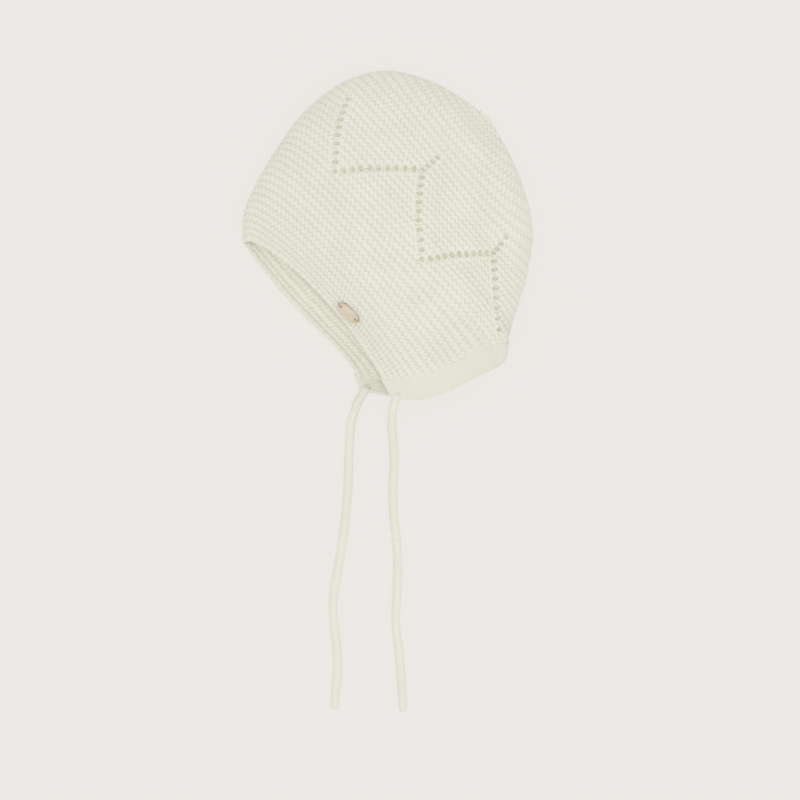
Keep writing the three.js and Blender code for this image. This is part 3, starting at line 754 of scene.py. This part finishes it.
def inside(name, shares, columns, material, fine):
    """The inner skin of both layers between two ridges."""
    skin = Skin(shares)
    arcs, base, out = skin.grid(skin.low, skin.high, columns)
    ridge, stitch = skin.lattice(arcs)
    height = garter(ridge + 0.5, stitch + 0.5) if fine else 0.6 + 0.4 * np.cos(2 * np.pi * (ridge + 0.5))
    height = mix(LIP_HEIGHT, height, smooth(shares, *LIP_SHARES)[:, None])
    inwards = WALL + RIDGE_HEIGHT * (height - MEAN_HEIGHT)
    points = base - out * inwards[..., None]
    points[..., 2] = np.clip(points[..., 2], WALL * 0.8, None)
    flat = points.reshape(-1, 3)
    faces = skin.keep(grid_faces(len(shares), columns), arcs)[:, ::-1]
    for side in (-1, 1):
        rho, _ = hole_distance(base, HOLES[side])
        faces = faces[rho.ravel()[faces].mean(1) > 1.05]
    # Painted glow on the inner skin: none at the far lip, a share just behind it, full deeper in.
    painted_glow = mix(GLOW_BY_FACE * smooth(ridge, *GLOW_BEHIND_LIP), 1, smooth(ridge, *GLOW_RIDGES))
    # Painted shade in the inner skin's furrows.
    return mesh_object(name, flat, [faces], material, pairs(ridge, stitch), 1 - height.ravel(), painted_glow.ravel())


# Face edge.
EDGE_LUMP = 4.5
EDGE_REACH = 2.3
EDGE_THICK = 2.0


def face_edge(material):
    """The cast-on row all round the face opening, a round lumpy edge that joins the two skins."""
    table = arc_table([0.0])
    near, far = band_arcs(np.array([0.0]), table)
    arcs = np.arange(far[0] - 1, near[0] + 1, 0.45)
    u = np.interp(arcs, table[1][0], table[0][0])
    crownwards, along, out = skin_frame(u, 0.0)
    sections = 24
    angle = np.arange(sections) / sections * 2 * np.pi
    uneven = 0.05 * soft_noise(arcs * 0.2, 3.0)[:, None]
    phase = arcs[:, None] / EDGE_LUMP + 0.18 * np.cos(angle)[None, :] + uneven
    lump = np.abs(np.cos(np.pi * phase)) ** 0.6
    size = 0.84 + 0.19 * lump + 0.03 * soft_noise(arcs * 0.45, 8.0)[:, None]
    centre = outer_point(u, 0.0) - out * WALL / 2 + crownwards * (EDGE_REACH - 0.35)
    ring = ring_round(angle, -crownwards * EDGE_REACH, out * EDGE_THICK)
    points = centre[:, None] + ring * size[..., None]
    points[..., 2] = np.maximum(points[..., 2], LOWEST)
    faces = grid_faces(len(arcs), sections, wraps=True)[:, ::-1]
    lattice = pairs(arcs[:, None] / STITCH, angle[None, :])
    # Painted shade: darker between the edge's lumps.
    return mesh_object("face_edge", points.reshape(-1, 3), [faces], material, lattice, 1 - lump.ravel())


# Neck band.
BAND_ROWS = 330
NAPE_ROWS = 34
BAND_COLUMNS = 30
BAND_LIFT = 0.1
BAND_RELIEF = 0.34
BAND_TUCK = -0.85
BAND_OVERLAP = 0.7
ROLL_STEPS = 9
CAP_STEPS = 6


def band_sheet(skin, side, edge_arc, line_arc, along_edge):
    """Outer points, middle points and inner points of one side's band, from its top line to the edge, with
    painted shade in its furrows.
    """
    start = line_arc - side * BAND_OVERLAP
    arcs, base, out = skin.grid(np.minimum(start, edge_arc), np.maximum(start, edge_arc), BAND_COLUMNS)
    if side < 0:
        arcs, base, out = arcs[:, ::-1], base[:, ::-1], out[:, ::-1]
    below = np.abs(arcs - line_arc[:, None]) * np.where((arcs - line_arc[:, None]) * side > 0, 1, -1)
    from_edge = np.abs(arcs - edge_arc[:, None])
    height = stockinette(along_edge[:, None], from_edge)
    lift = mix(BAND_TUCK, BAND_LIFT, smooth(below, -BAND_OVERLAP, 1.0))
    offset = lift + BAND_RELIEF * (height - 0.5) * smooth(below, 0, 1.5)
    outer = base + out * offset[..., None]
    inner = base - out * (WALL + offset)[..., None]
    return outer, base - out * WALL / 2, inner, 1 - height, from_edge


def neck_band(material):
    """The knitted-on band round the neck, rolled at its edge and rounded off at its two ends."""
    open_shares = np.linspace(0, NAPE - 1e-6, BAND_ROWS)
    closing = Skin(np.linspace(NAPE, 0.5, 120))
    band_end = closing.shares[closing.banded].max() - 0.002
    parts = []
    skin = Skin(open_shares)
    edge_line = outer_point(1.0, open_shares)
    along_edge = np.concatenate([[0], np.cumsum(np.linalg.norm(np.diff(edge_line, axis=0), axis=1))])
    for side in (1, -1):
        edge = skin.seam if side > 0 else skin.far_seam
        line = skin.near_band if side > 0 else skin.far_band
        outer, middle, inner, furrow_shade, from_edge = band_sheet(skin, side, edge, line, along_edge)
        crownwards, along, out = skin_frame(np.full(BAND_ROWS, float(side)), open_shares)
        roll_angle = np.linspace(0, np.pi, ROLL_STEPS + 2)[1:-1]
        radius = np.linalg.norm(outer[:, -1] - middle[:, -1], axis=-1)[:, None, None]
        roll = middle[:, -1:] + radius * ring_round(roll_angle, out, along * side)
        sheet = np.concatenate([outer, roll, inner[:, ::-1]], 1)
        mids = np.concatenate([middle, np.repeat(middle[:, -1:], ROLL_STEPS, 1), middle[:, ::-1]], 1)
        # Painted shade: the band darker in its furrows, and the roll an even mid shade.
        painted_shade = np.concatenate([furrow_shade, np.full((BAND_ROWS, ROLL_STEPS), 0.4), furrow_shade[:, ::-1]], 1)
        across = np.concatenate([from_edge, np.zeros((BAND_ROWS, ROLL_STEPS)), from_edge[:, ::-1]], 1)
        cap_angle = np.linspace(np.pi / 2, 0, CAP_STEPS + 1)[:-1]
        towards_face = -skin_frame(np.full(sheet.shape[1], float(side)), 0.0)[0]
        caps = [
            mids[0] + (sheet[0] - mids[0]) * math.cos(a) + towards_face * WALL / 2 * math.sin(a)
            for a in cap_angle
        ]
        sheet = np.concatenate([caps, sheet], 0)
        painted_shade = np.concatenate([np.repeat(painted_shade[:1], CAP_STEPS, 0), painted_shade], 0)
        across = np.concatenate([np.repeat(across[:1], CAP_STEPS, 0), across], 0)
        along_rows = np.concatenate([np.zeros(CAP_STEPS), along_edge])
        sheet[..., 2] = np.maximum(sheet[..., 2], LOWEST)
        faces = grid_faces(*sheet.shape[:2])
        if side < 0:
            faces = faces[:, ::-1]
        parts.append((sheet.reshape(-1, 3), faces, pairs(along_rows[:, None] / 2, across / 2), painted_shade.ravel()))
    parts += nape_patch(band_end, along_edge[-1])
    counts = np.cumsum([0] + [len(part[0]) for part in parts])
    faces = [part[1] + count for part, count in zip(parts, counts)]
    points, lattice, painted_shade = (np.concatenate([part[k] for part in parts]) for k in (0, 2, 3))
    return mesh_object("neck_band_knit", points, faces, material, lattice, painted_shade)


def nape_patch(band_end, edge_before):
    """The band's run round the nape, where the two layers are sewn together."""
    shares = np.linspace(NAPE, band_end, NAPE_ROWS)
    skin = Skin(shares)
    start = skin.near_band - BAND_OVERLAP
    far_u = skin.u_at((skin.far_band + BAND_OVERLAP)[:, None])[:, 0]
    stop = np.maximum(skin.arc_at(far_u + 2), start + 0.5)
    arcs, base, out = skin.grid(start, stop, 2 * BAND_COLUMNS)
    from_end = np.minimum(arcs - start[:, None], stop[:, None] - arcs)
    along_edge = edge_before + np.linspace(0, 1, NAPE_ROWS) * 9
    height = stockinette(along_edge[:, None], np.abs(arcs - skin.seam[:, None]))
    lift = mix(BAND_TUCK, BAND_LIFT, smooth(from_end, 0, 1.0 + BAND_OVERLAP))
    offset = lift + BAND_RELIEF * (height - 0.5)
    made = []
    for sign, depth in ((1, 0), (-1, WALL)):
        points = base + out * (sign * offset - depth)[..., None]
        points[..., 2] = np.maximum(points[..., 2], LOWEST)
        faces = grid_faces(NAPE_ROWS, 2 * BAND_COLUMNS)
        faces = faces if sign > 0 else faces[:, ::-1]
        lattice = pairs(along_edge[:, None] / 2, arcs / 2)
        # Painted shade in the patch's furrows.
        made.append((points.reshape(-1, 3), faces, lattice, 1 - height.ravel()))
    return made


# Ties.
NEAR_TIE = [
    [4.1, -103], [3.4, -110], [3.2, -117], [3.9, -123], [4.5, -131], [4.5, -140], [3.9, -150],
    [4.0, -162], [4.7, -173], [6.0, -184], [6.7, -196], [6.6, -208], [6.1, -219], [5.5, -230],
    [6.2, -241], [7.6, -251], [8.4, -261], [9.1, -271], [9.7, -280], [10.1, -287.5],
]
FAR_TIE = [
    [-16.7, -99], [-19.2, -105.5], [-21.2, -112.5], [-22.1, -121], [-22.7, -132], [-23.0, -144],
    [-23.5, -156], [-24.6, -168], [-26.0, -180], [-27.8, -192], [-29.7, -203], [-31.6, -214],
    [-32.2, -223], [-31.6, -234], [-30.4, -245], [-29.7, -256], [-29.9, -266], [-30.8, -276],
    [-31.4, -286],
]
DROP = 5
TIE_REST = TIE_DIAMETER / 2 + 0.1
TIE_COLUMNS = 5
TIE_STITCH = 3.0
TIE_SECTIONS = 40
TIE_STEP = 0.42
TIE_SEAT = 0.05
SKIN_STEP = 1 / 22


def tie_start(side):
    """Where a layer's tie leaves the end of the band by the face."""
    u, shares = np.full(2, float(side)), np.array([0, SKIN_STEP])
    points, out = outer_point(u, shares), skin_frame(u, shares)[2]
    edge = (points[1] - points[0]) * [1, 1, 0]
    inset = TIE_DIAMETER / 2 / np.linalg.norm(edge)
    forward = np.array([-edge[1], edge[0], 0]) / np.linalg.norm(edge) * -np.sign(edge[0])
    ends = [mix(*points, inset), mix(*(points - out * WALL), inset)]
    start = (ends[0] + ends[1]) / 2
    reach = max((end - start) @ forward for end in ends)
    start = start + forward * (reach + TIE_SEAT)
    start[2] = max(start[2], TIE_REST)
    return start


def curve_through(points, steps=24):
    """A centripetal Catmull-Rom curve, as the part's own routes run."""
    ends = [2 * points[0] - points[1], *points, 2 * points[-1] - points[-2]]
    line = []
    for p0, p1, p2, p3 in zip(ends, ends[1:], ends[2:], ends[3:]):
        t0, t1, t2 = (np.linalg.norm(b - a) ** 0.5 for a, b in ((p0, p1), (p1, p2), (p2, p3)))
        leave = ((p1 - p0) / t0 - (p2 - p0) / (t0 + t1) + (p2 - p1) / t1) * t1
        arrive = ((p2 - p1) / t1 - (p3 - p1) / (t1 + t2) + (p3 - p2) / t2) * t1
        for t in np.arange(steps) / steps:
            a, b = 2 * t ** 3 - 3 * t ** 2 + 1, t ** 3 - 2 * t ** 2 + t
            line.append(a * p1 + b * leave + (1 - a) * p2 + (t ** 3 - t ** 2) * arrive)
    return np.array(line + [points[-1]])


def tie(name, node, side, route, material):
    """A knitted cord: five columns of V stitches round a soft tube, rounded off at its free end."""
    start = tie_start(side)
    heights = [mix(start[2], TIE_REST, smooth(i + 1, 0, DROP)) for i in range(len(route))]
    line = curve_through(np.array([start] + [[x, y, z] for (x, y), z in zip(route, heights)]))
    lengths = np.concatenate([[0], np.cumsum(np.linalg.norm(np.diff(line, axis=0), axis=1))])
    stops = np.linspace(0, lengths[-1], round(lengths[-1] / TIE_STEP) + 1)
    line = np.stack([np.interp(stops, lengths, line[:, k]) for k in range(3)], -1)
    forward = unit(np.gradient(line, axis=0))
    sideways = unit(np.stack([-forward[:, 1], forward[:, 0], np.zeros(len(line))], -1))
    up = np.cross(forward, sideways)
    sections = TIE_SECTIONS
    angle = np.arange(sections) / sections * 2 * np.pi
    column = (angle[None, :] + 0.5 + stops[:, None] * 0.01) / (2 * np.pi) * TIE_COLUMNS
    off = np.abs(column - np.round(column)) * 2
    stitch = stops[:, None] / TIE_STITCH - 0.45 * off
    bead = np.sqrt(np.clip(1 - ((stitch - np.round(stitch)) / 0.56) ** 2, 0, 1))
    leg = np.sqrt(np.clip(1 - ((off - 0.52) / 0.6) ** 2, 0, 1))
    relief = bead * leg
    slack = 0.09 * soft_noise(stops * 0.11, side * 3.0 + 7) + 0.05 * soft_noise(stops * 0.33, side * 5.0 + 20)
    radius = TIE_DIAMETER / 2 - 0.25 + slack[:, None] + 0.38 * relief
    to_end = lengths[-1] - stops
    radius = radius * np.sqrt(np.clip(1 - np.clip(1 - to_end / 2.2, 0, 1) ** 2, 0.02, 1))[:, None]
    points = line[:, None] + ring_round(angle, sideways, up) * radius[..., None]
    root = line[0] - forward[0] * 2.5
    points = np.concatenate([(root + (points[0] - line[0]) * 0.9)[None], points])
    points[..., 2] = np.maximum(points[..., 2], LOWEST)
    relief = np.concatenate([relief[:1], relief])
    faces = grid_faces(len(points), sections, wraps=True)
    along = np.concatenate([[0], stops])
    lattice = pairs(along[:, None] / 2, angle[None, :] * 1.3)
    flat = np.concatenate([points.reshape(-1, 3), [root, line[-1]]])
    last = (len(points) - 1) * sections
    k = np.arange(sections)
    after = (k + 1) % sections
    near_cap = np.stack([np.full(sections, len(flat) - 2), after, k], -1)
    far_cap = np.stack([np.full(sections, len(flat) - 1), last + k, last + after], -1)
    lattice = np.concatenate([lattice, np.zeros((2, 2))])
    # Painted shade: darker between the cord's stitches, with a mid shade at its two caps.
    painted_shade = np.concatenate([1 - relief.ravel(), [0.5, 0.5]])
    made = mesh_object(name, flat, [faces, near_cap, far_cap], material, lattice, painted_shade)
    stands_for(made, node)
    return made


# Tag.
TAG_RIDGE = 0.064
TAG_ACROSS = 0.567
TAG_LEVELLED = 0.65
TAG_TURN = math.radians(8)
TAG_SQUARENESS = 2.5


def tag_frame():
    """The plate's middle, and its directions along, across and up."""
    u = math.acos(1 - 2 * TAG_ACROSS) / math.pi
    centre = outer_point(u, TAG_RIDGE)
    up = unit(mix(skin_frame(u, TAG_RIDGE)[2], np.array([0, 0, 1]), TAG_LEVELLED))
    along = outer_point(u + 0.02, TAG_RIDGE) - outer_point(u - 0.02, TAG_RIDGE)
    along = unit(along - up * (along @ up))
    along = along * math.cos(TAG_TURN) + np.cross(up, along) * math.sin(TAG_TURN)
    across = np.cross(up, along)
    offsets = outer_point((u + np.arange(-10, 11) * 0.01)[:, None], (np.arange(13) * 0.01)[None, :]) - centre
    reach = np.hypot(offsets @ along * 2 / TAG_LENGTH, offsets @ across * 2 / TAG_WIDTH)
    lift = max(0, (offsets @ up)[reach < 1.15].max())
    return centre + up * (lift + TAG_GAP), along, across, up


def knit_under_tag(x):
    """How far the knit lies above the plate's underside at a point of its long axis."""
    centre, along, across, up = tag_frame()
    u = math.acos(1 - 2 * TAG_ACROSS) / math.pi
    around = (u + np.arange(-30, 31) * 0.004)[:, None]
    offsets = outer_point(around, (np.arange(41) * 0.004)[None, :]) - centre
    away = np.hypot(offsets @ along - x, offsets @ across)
    return (offsets @ up).ravel()[away.argmin()]


def on_tag(points):
    """Points given along, across and above the plate, in the knit's own frame."""
    centre, along, across, up = tag_frame()
    points = np.asarray(points, float)
    return centre + points[..., :1] * along + points[..., 1:2] * across + points[..., 2:] * up


TAG_RIM = 0.55
TAG_RIM_RISE = 0.22


def tag_plate(material):
    """A thin oval plate with a raised rim, and a hole near each tip."""
    count = 144
    angle = np.arange(count) / count * 2 * np.pi
    turned = np.stack([np.cos(angle), np.sin(angle)], -1)
    outline = np.sign(turned) * np.abs(turned) ** (2 / TAG_SQUARENESS) * [TAG_LENGTH / 2, TAG_WIDTH / 2]
    following = np.roll(outline, -1, 0) - np.roll(outline, 1, 0)
    inward = unit(np.stack([-following[:, 1], following[:, 0]], -1))
    floor = TAG_THICKNESS - TAG_RIM_RISE
    profile = [(0.15, 0.0), (0.0, 0.12), (0.0, TAG_THICKNESS - 0.16), (0.05, TAG_THICKNESS - 0.05),
               (0.16, TAG_THICKNESS), (0.36, TAG_THICKNESS), (0.47, TAG_THICKNESS - 0.06), (TAG_RIM, floor)]
    rings = [np.concatenate([outline + inward * inset, np.full((count, 1), z)], 1) for inset, z in profile]
    points = np.array(rings).reshape(-1, 3)
    faces = [grid_faces(len(profile), count, wraps=True)]
    rim = mesh_object("tag_plate", on_tag(points), faces, material)
    curve = bpy.data.curves.new("tag_face", "CURVE")
    curve.dimensions = "2D"
    curve.fill_mode = "BOTH"
    edge = outline + inward * (TAG_RIM - 0.02)
    loops = [edge]
    hole_angle = np.arange(28) / 28 * 2 * np.pi
    for end in (-1, 1):
        centre = end * (TAG_LENGTH / 2 - TAG_HOLE_INSET)
        circle = np.stack([np.cos(hole_angle), np.sin(hole_angle)], -1) * TAG_HOLE_DIAMETER / 2
        loops.append(circle + [centre, 0])
    for loop in loops:
        spline = curve.splines.new("POLY")
        spline.points.add(len(loop) - 1)
        corners = np.concatenate([loop, np.zeros((len(loop), 1)), np.ones((len(loop), 1))], 1)
        spline.points.foreach_set("co", corners.ravel())
        spline.use_cyclic_u = True
    curve.extrude = floor / 2
    holder = bpy.data.objects.new("tag_face", curve)
    bpy.context.scene.collection.objects.link(holder)
    bpy.context.view_layer.update()
    face_mesh = bpy.data.meshes.new_from_object(holder.evaluated_get(bpy.context.evaluated_depsgraph_get()))
    bpy.data.objects.remove(holder)
    flat = np.zeros(len(face_mesh.vertices) * 3)
    face_mesh.vertices.foreach_get("co", flat)
    flat = flat.reshape(-1, 3) + [0, 0, floor / 2]
    face_mesh.vertices.foreach_set("co", placed(on_tag(flat)).ravel())
    face_mesh.materials.clear()
    face_mesh.materials.append(material)
    plate = bpy.data.objects.new("tag_plate_face", face_mesh)
    bpy.context.scene.collection.objects.link(plate)
    for piece in (rim, plate):
        stands_for(piece, "tag")


def tag_thread(name, node, end, material):
    """A thread that comes up through a hole, over the plate's tip and down to the knit."""
    hole = end * (TAG_LENGTH / 2 - TAG_HOLE_INSET)
    outside = end * (TAG_LENGTH / 2 + THREAD_DIAMETER * 0.7)
    top = TAG_THICKNESS + THREAD_DIAMETER / 2 - 0.1
    line = curve_through(np.array([
        [hole, 0, knit_under_tag(hole)], [hole, 0, TAG_THICKNESS * 0.7], [mix(hole, outside, 0.3), 0, top],
        [mix(hole, outside, 0.75), 0, top - 0.05], [outside, 0, TAG_THICKNESS * 0.5],
        [outside - end * 0.2, 0, knit_under_tag(outside)],
    ], float), 10)
    forward = unit(np.gradient(line, axis=0))
    sideways = np.broadcast_to([0.0, 1.0, 0.0], line.shape)
    up = unit(np.cross(forward, sideways))
    sections = 14
    angle = np.arange(sections) / sections * 2 * np.pi
    twist = np.arange(len(line))[:, None] * 0.42
    radius = THREAD_DIAMETER / 2 * (0.88 + 0.16 * np.abs(np.cos(angle[None, :] + twist)))
    points = (line[:, None] + ring_round(angle, sideways, up) * radius[..., None]).reshape(-1, 3)
    faces = grid_faces(len(line), sections, wraps=True)[:, ::-1]
    lattice = pairs(np.arange(len(line))[:, None] * 0.2, angle[None, :])
    made = mesh_object(name, on_tag(points), [faces], material, lattice, np.full(len(points), 0.3))
    stands_for(made, node)


# Materials.
def new_material(name):
    material = bpy.data.materials.new(name)
    material.use_nodes = True
    nodes = material.node_tree.nodes
    return material, nodes, material.node_tree.links, nodes["Principled BSDF"]


def add_node(nodes, kind, **values):
    """A new node with some of its inputs set."""
    node = nodes.new(kind)
    for name, value in values.items():
        node.inputs[name].default_value = value
    return node


def ramp(nodes, stops):
    node = nodes.new("ShaderNodeValToRGB")
    elements = node.color_ramp.elements
    while len(elements) < len(stops):
        elements.new(0.5)
    for element, (position, colour) in zip(elements, stops):
        element.position = position
        element.color = (*colour, 1)
    return node


CREAM = (0.80, 0.795, 0.705)
# Painted shade: the yarn's cream darkened and warmed where it lies in a furrow.
CREAM_FURROW_SHADE = (0.755, 0.735, 0.625)
# Painted glow: colour and strength of the emission standing in for light through the fabric.
GLOW_COLOUR = (1.0, 0.95, 0.84)
GLOW = 0.18


def yarn_material(name):
    """Matt cream cotton with painted shade that darkens and warms the furrows and a painted glow for light
    through the fabric; faintly uneven, with fine plies and fibres.
    """
    material, nodes, links, shader = new_material(name)
    shader.inputs["Roughness"].default_value = 0.92
    shader.inputs["Sheen Weight"].default_value = 0.15
    shader.inputs["Sheen Roughness"].default_value = 0.5
    shader.inputs["Specular IOR Level"].default_value = 0.2
    cavity_shade = nodes.new("ShaderNodeAttribute")
    cavity_shade.attribute_name = "cavity_shade"
    # Painted shade: the cavity shade darkens the cream in furrows and hole walls.
    furrow_shade = ramp(nodes, [(0.3, CREAM), (1.0, CREAM_FURROW_SHADE)])
    links.new(cavity_shade.outputs["Fac"], furrow_shade.inputs["Fac"])
    place = nodes.new("ShaderNodeTexCoord")
    patches = add_node(nodes, "ShaderNodeTexNoise", Scale=45, Detail=3)
    links.new(place.outputs["Object"], patches.inputs["Vector"])
    uneven = ramp(nodes, [(0.3, (0.965, 0.965, 0.96)), (0.7, (1.0, 1.0, 1.0))])
    links.new(patches.outputs["Fac"], uneven.inputs["Fac"])
    tint = nodes.new("ShaderNodeMix")
    tint.data_type = "RGBA"
    tint.blend_type = "MULTIPLY"
    tint.inputs["Factor"].default_value = 1
    links.new(furrow_shade.outputs["Color"], tint.inputs["A"])
    links.new(uneven.outputs["Color"], tint.inputs["B"])
    links.new(tint.outputs["Result"], shader.inputs["Base Color"])
    lattice = nodes.new("ShaderNodeAttribute")
    lattice.attribute_name = "lattice"
    plies = add_node(nodes, "ShaderNodeTexNoise", Scale=5, Detail=4)
    stretch = add_node(nodes, "ShaderNodeMapping", Scale=(2.6, 0.8, 1))
    links.new(lattice.outputs["Vector"], stretch.inputs["Vector"])
    links.new(stretch.outputs["Vector"], plies.inputs["Vector"])
    fibres = add_node(nodes, "ShaderNodeTexNoise", Scale=2200, Detail=4)
    links.new(place.outputs["Object"], fibres.inputs["Vector"])
    both = nodes.new("ShaderNodeMath")
    both.operation = "ADD"
    links.new(plies.outputs["Fac"], both.inputs[0])
    links.new(fibres.outputs["Fac"], both.inputs[1])
    bump = add_node(nodes, "ShaderNodeBump", Strength=0.35, Distance=0.0003)
    links.new(both.outputs["Value"], bump.inputs["Height"])
    links.new(bump.outputs["Normal"], shader.inputs["Normal"])
    # Painted glow: the lattice attribute's third value sets an emission, painted light for light through the
    # fabric.
    parts = nodes.new("ShaderNodeSeparateXYZ")
    links.new(lattice.outputs["Vector"], parts.inputs["Vector"])
    painted_glow = nodes.new("ShaderNodeMath")
    painted_glow.operation = "MULTIPLY"
    painted_glow.inputs[1].default_value = GLOW
    links.new(parts.outputs["Z"], painted_glow.inputs[0])
    links.new(painted_glow.outputs["Value"], shader.inputs["Emission Strength"])
    shader.inputs["Emission Color"].default_value = (*GLOW_COLOUR, 1)
    return material


def thread_material():
    """Golden brown sewing thread, ribbed by its twist, with painted shade in the grooves of the twist."""
    material, nodes, links, shader = new_material("thread")
    shader.inputs["Roughness"].default_value = 0.6
    place = nodes.new("ShaderNodeTexCoord")
    twist = add_node(nodes, "ShaderNodeTexWave", Scale=900, Distortion=1.5)
    links.new(place.outputs["Object"], twist.inputs["Vector"])
    # Painted shade: the colour darkens where the twist's bump is low.
    colour = ramp(nodes, [(0.2, (0.42, 0.32, 0.20)), (0.8, (0.60, 0.48, 0.33))])
    links.new(twist.outputs["Fac"], colour.inputs["Fac"])
    links.new(colour.outputs["Color"], shader.inputs["Base Color"])
    bump = add_node(nodes, "ShaderNodeBump", Strength=0.4, Distance=0.0001)
    links.new(twist.outputs["Fac"], bump.inputs["Height"])
    links.new(bump.outputs["Normal"], shader.inputs["Normal"])
    return material


def tag_material():
    """Pale satin gold, brushed along the plate, duller in fine scuffs."""
    material, nodes, links, shader = new_material("pale_gold")
    shader.inputs["Metallic"].default_value = 1
    place = nodes.new("ShaderNodeTexCoord")
    brushed = add_node(nodes, "ShaderNodeTexNoise", Scale=700, Detail=5)
    stretch = add_node(nodes, "ShaderNodeMapping", Rotation=(0, 0, math.radians(40)), Scale=(0.15, 1, 1))
    links.new(place.outputs["Object"], stretch.inputs["Vector"])
    links.new(stretch.outputs["Vector"], brushed.inputs["Vector"])
    colour = ramp(nodes, [(0.35, (0.66, 0.575, 0.44)), (0.65, (0.74, 0.665, 0.535))])
    links.new(brushed.outputs["Fac"], colour.inputs["Fac"])
    links.new(colour.outputs["Color"], shader.inputs["Base Color"])
    gloss = nodes.new("ShaderNodeMapRange")
    gloss.inputs["To Min"].default_value = 0.28
    gloss.inputs["To Max"].default_value = 0.5
    links.new(brushed.outputs["Fac"], gloss.inputs["Value"])
    links.new(gloss.outputs["Result"], shader.inputs["Roughness"])
    bump = add_node(nodes, "ShaderNodeBump", Strength=0.15, Distance=0.0001)
    links.new(brushed.outputs["Fac"], bump.inputs["Height"])
    links.new(bump.outputs["Normal"], shader.inputs["Normal"])
    return material


# Stage.
PAPER = (0.842, 0.823, 0.791)
PAPER_SOFT = 0.12


def add_stage():
    """A plain pale floor that takes almost no shadow."""
    material, nodes, links, shader = new_material("paper")
    shader.inputs["Base Color"].default_value = (*(PAPER_SOFT * value for value in PAPER), 1)
    shader.inputs["Roughness"].default_value = 1
    shader.inputs["Specular IOR Level"].default_value = 0
    shader.inputs["Emission Color"].default_value = (*PAPER, 1)
    shader.inputs["Emission Strength"].default_value = 1 - PAPER_SOFT * 1.04
    mesh = bpy.data.meshes.new("floor")
    size = 4
    corners = [(-size, -size, 0), (size, -size, 0), (size, size, 0), (-size, size, 0)]
    mesh.from_pydata(corners, [], [(0, 1, 2, 3)])
    mesh.materials.append(material)
    floor = bpy.data.objects.new("floor", mesh)
    floor.location.z = -0.0002
    bpy.context.scene.collection.objects.link(floor)


SKY = 0.94
KEY_WATTS = 5.0


def add_lights():
    """Even white light from all round, and one large soft lamp at the lower right."""
    world = bpy.data.worlds.new("studio")
    world.use_nodes = True
    world.node_tree.nodes["Background"].inputs["Color"].default_value = (1, 1, 1, 1)
    world.node_tree.nodes["Background"].inputs["Strength"].default_value = SKY
    bpy.context.scene.world = world
    data = bpy.data.lights.new("key", "AREA")
    data.energy = KEY_WATTS
    data.size = 1.0
    key = bpy.data.objects.new("key", data)
    key.location = (0.35, -0.35, 2.1)
    key.rotation_euler = (-key.location).to_track_quat("-Z", "Y").to_euler()
    bpy.context.scene.collection.objects.link(key)


add_camera()
add_lights()
add_stage()
bpy.context.scene.view_settings.view_transform = "Standard"

yarn = yarn_material("cream_yarn")
gold = tag_material()
tie("tie_near_knit", "tie_near", 1, NEAR_TIE, yarn)
tie("tie_far_knit", "tie_far", -1, FAR_TIE, yarn)

knit_pieces = [
    *near_layer(yarn),
    far_layer(yarn),
    inside("inside_front", np.linspace(0, 0.22, 80), 540, yarn, True),
    inside("inside_back", np.linspace(0.22, 0.96, 130), 200, yarn, False),
    face_edge(yarn),
    eyelet_strands("eyelet_strands_near", 1, yarn),
    eyelet_strands("eyelet_strands_far", -1, yarn),
]
for piece in knit_pieces:
    stands_for(piece, "knit_body")
stands_for(neck_band(yarn), "neck_band")

tag_plate(gold)
thread = thread_material()
tag_thread("tag_thread_1", "tag_stitch_1", -1, thread)
tag_thread("tag_thread_2", "tag_stitch_2", 1, thread)
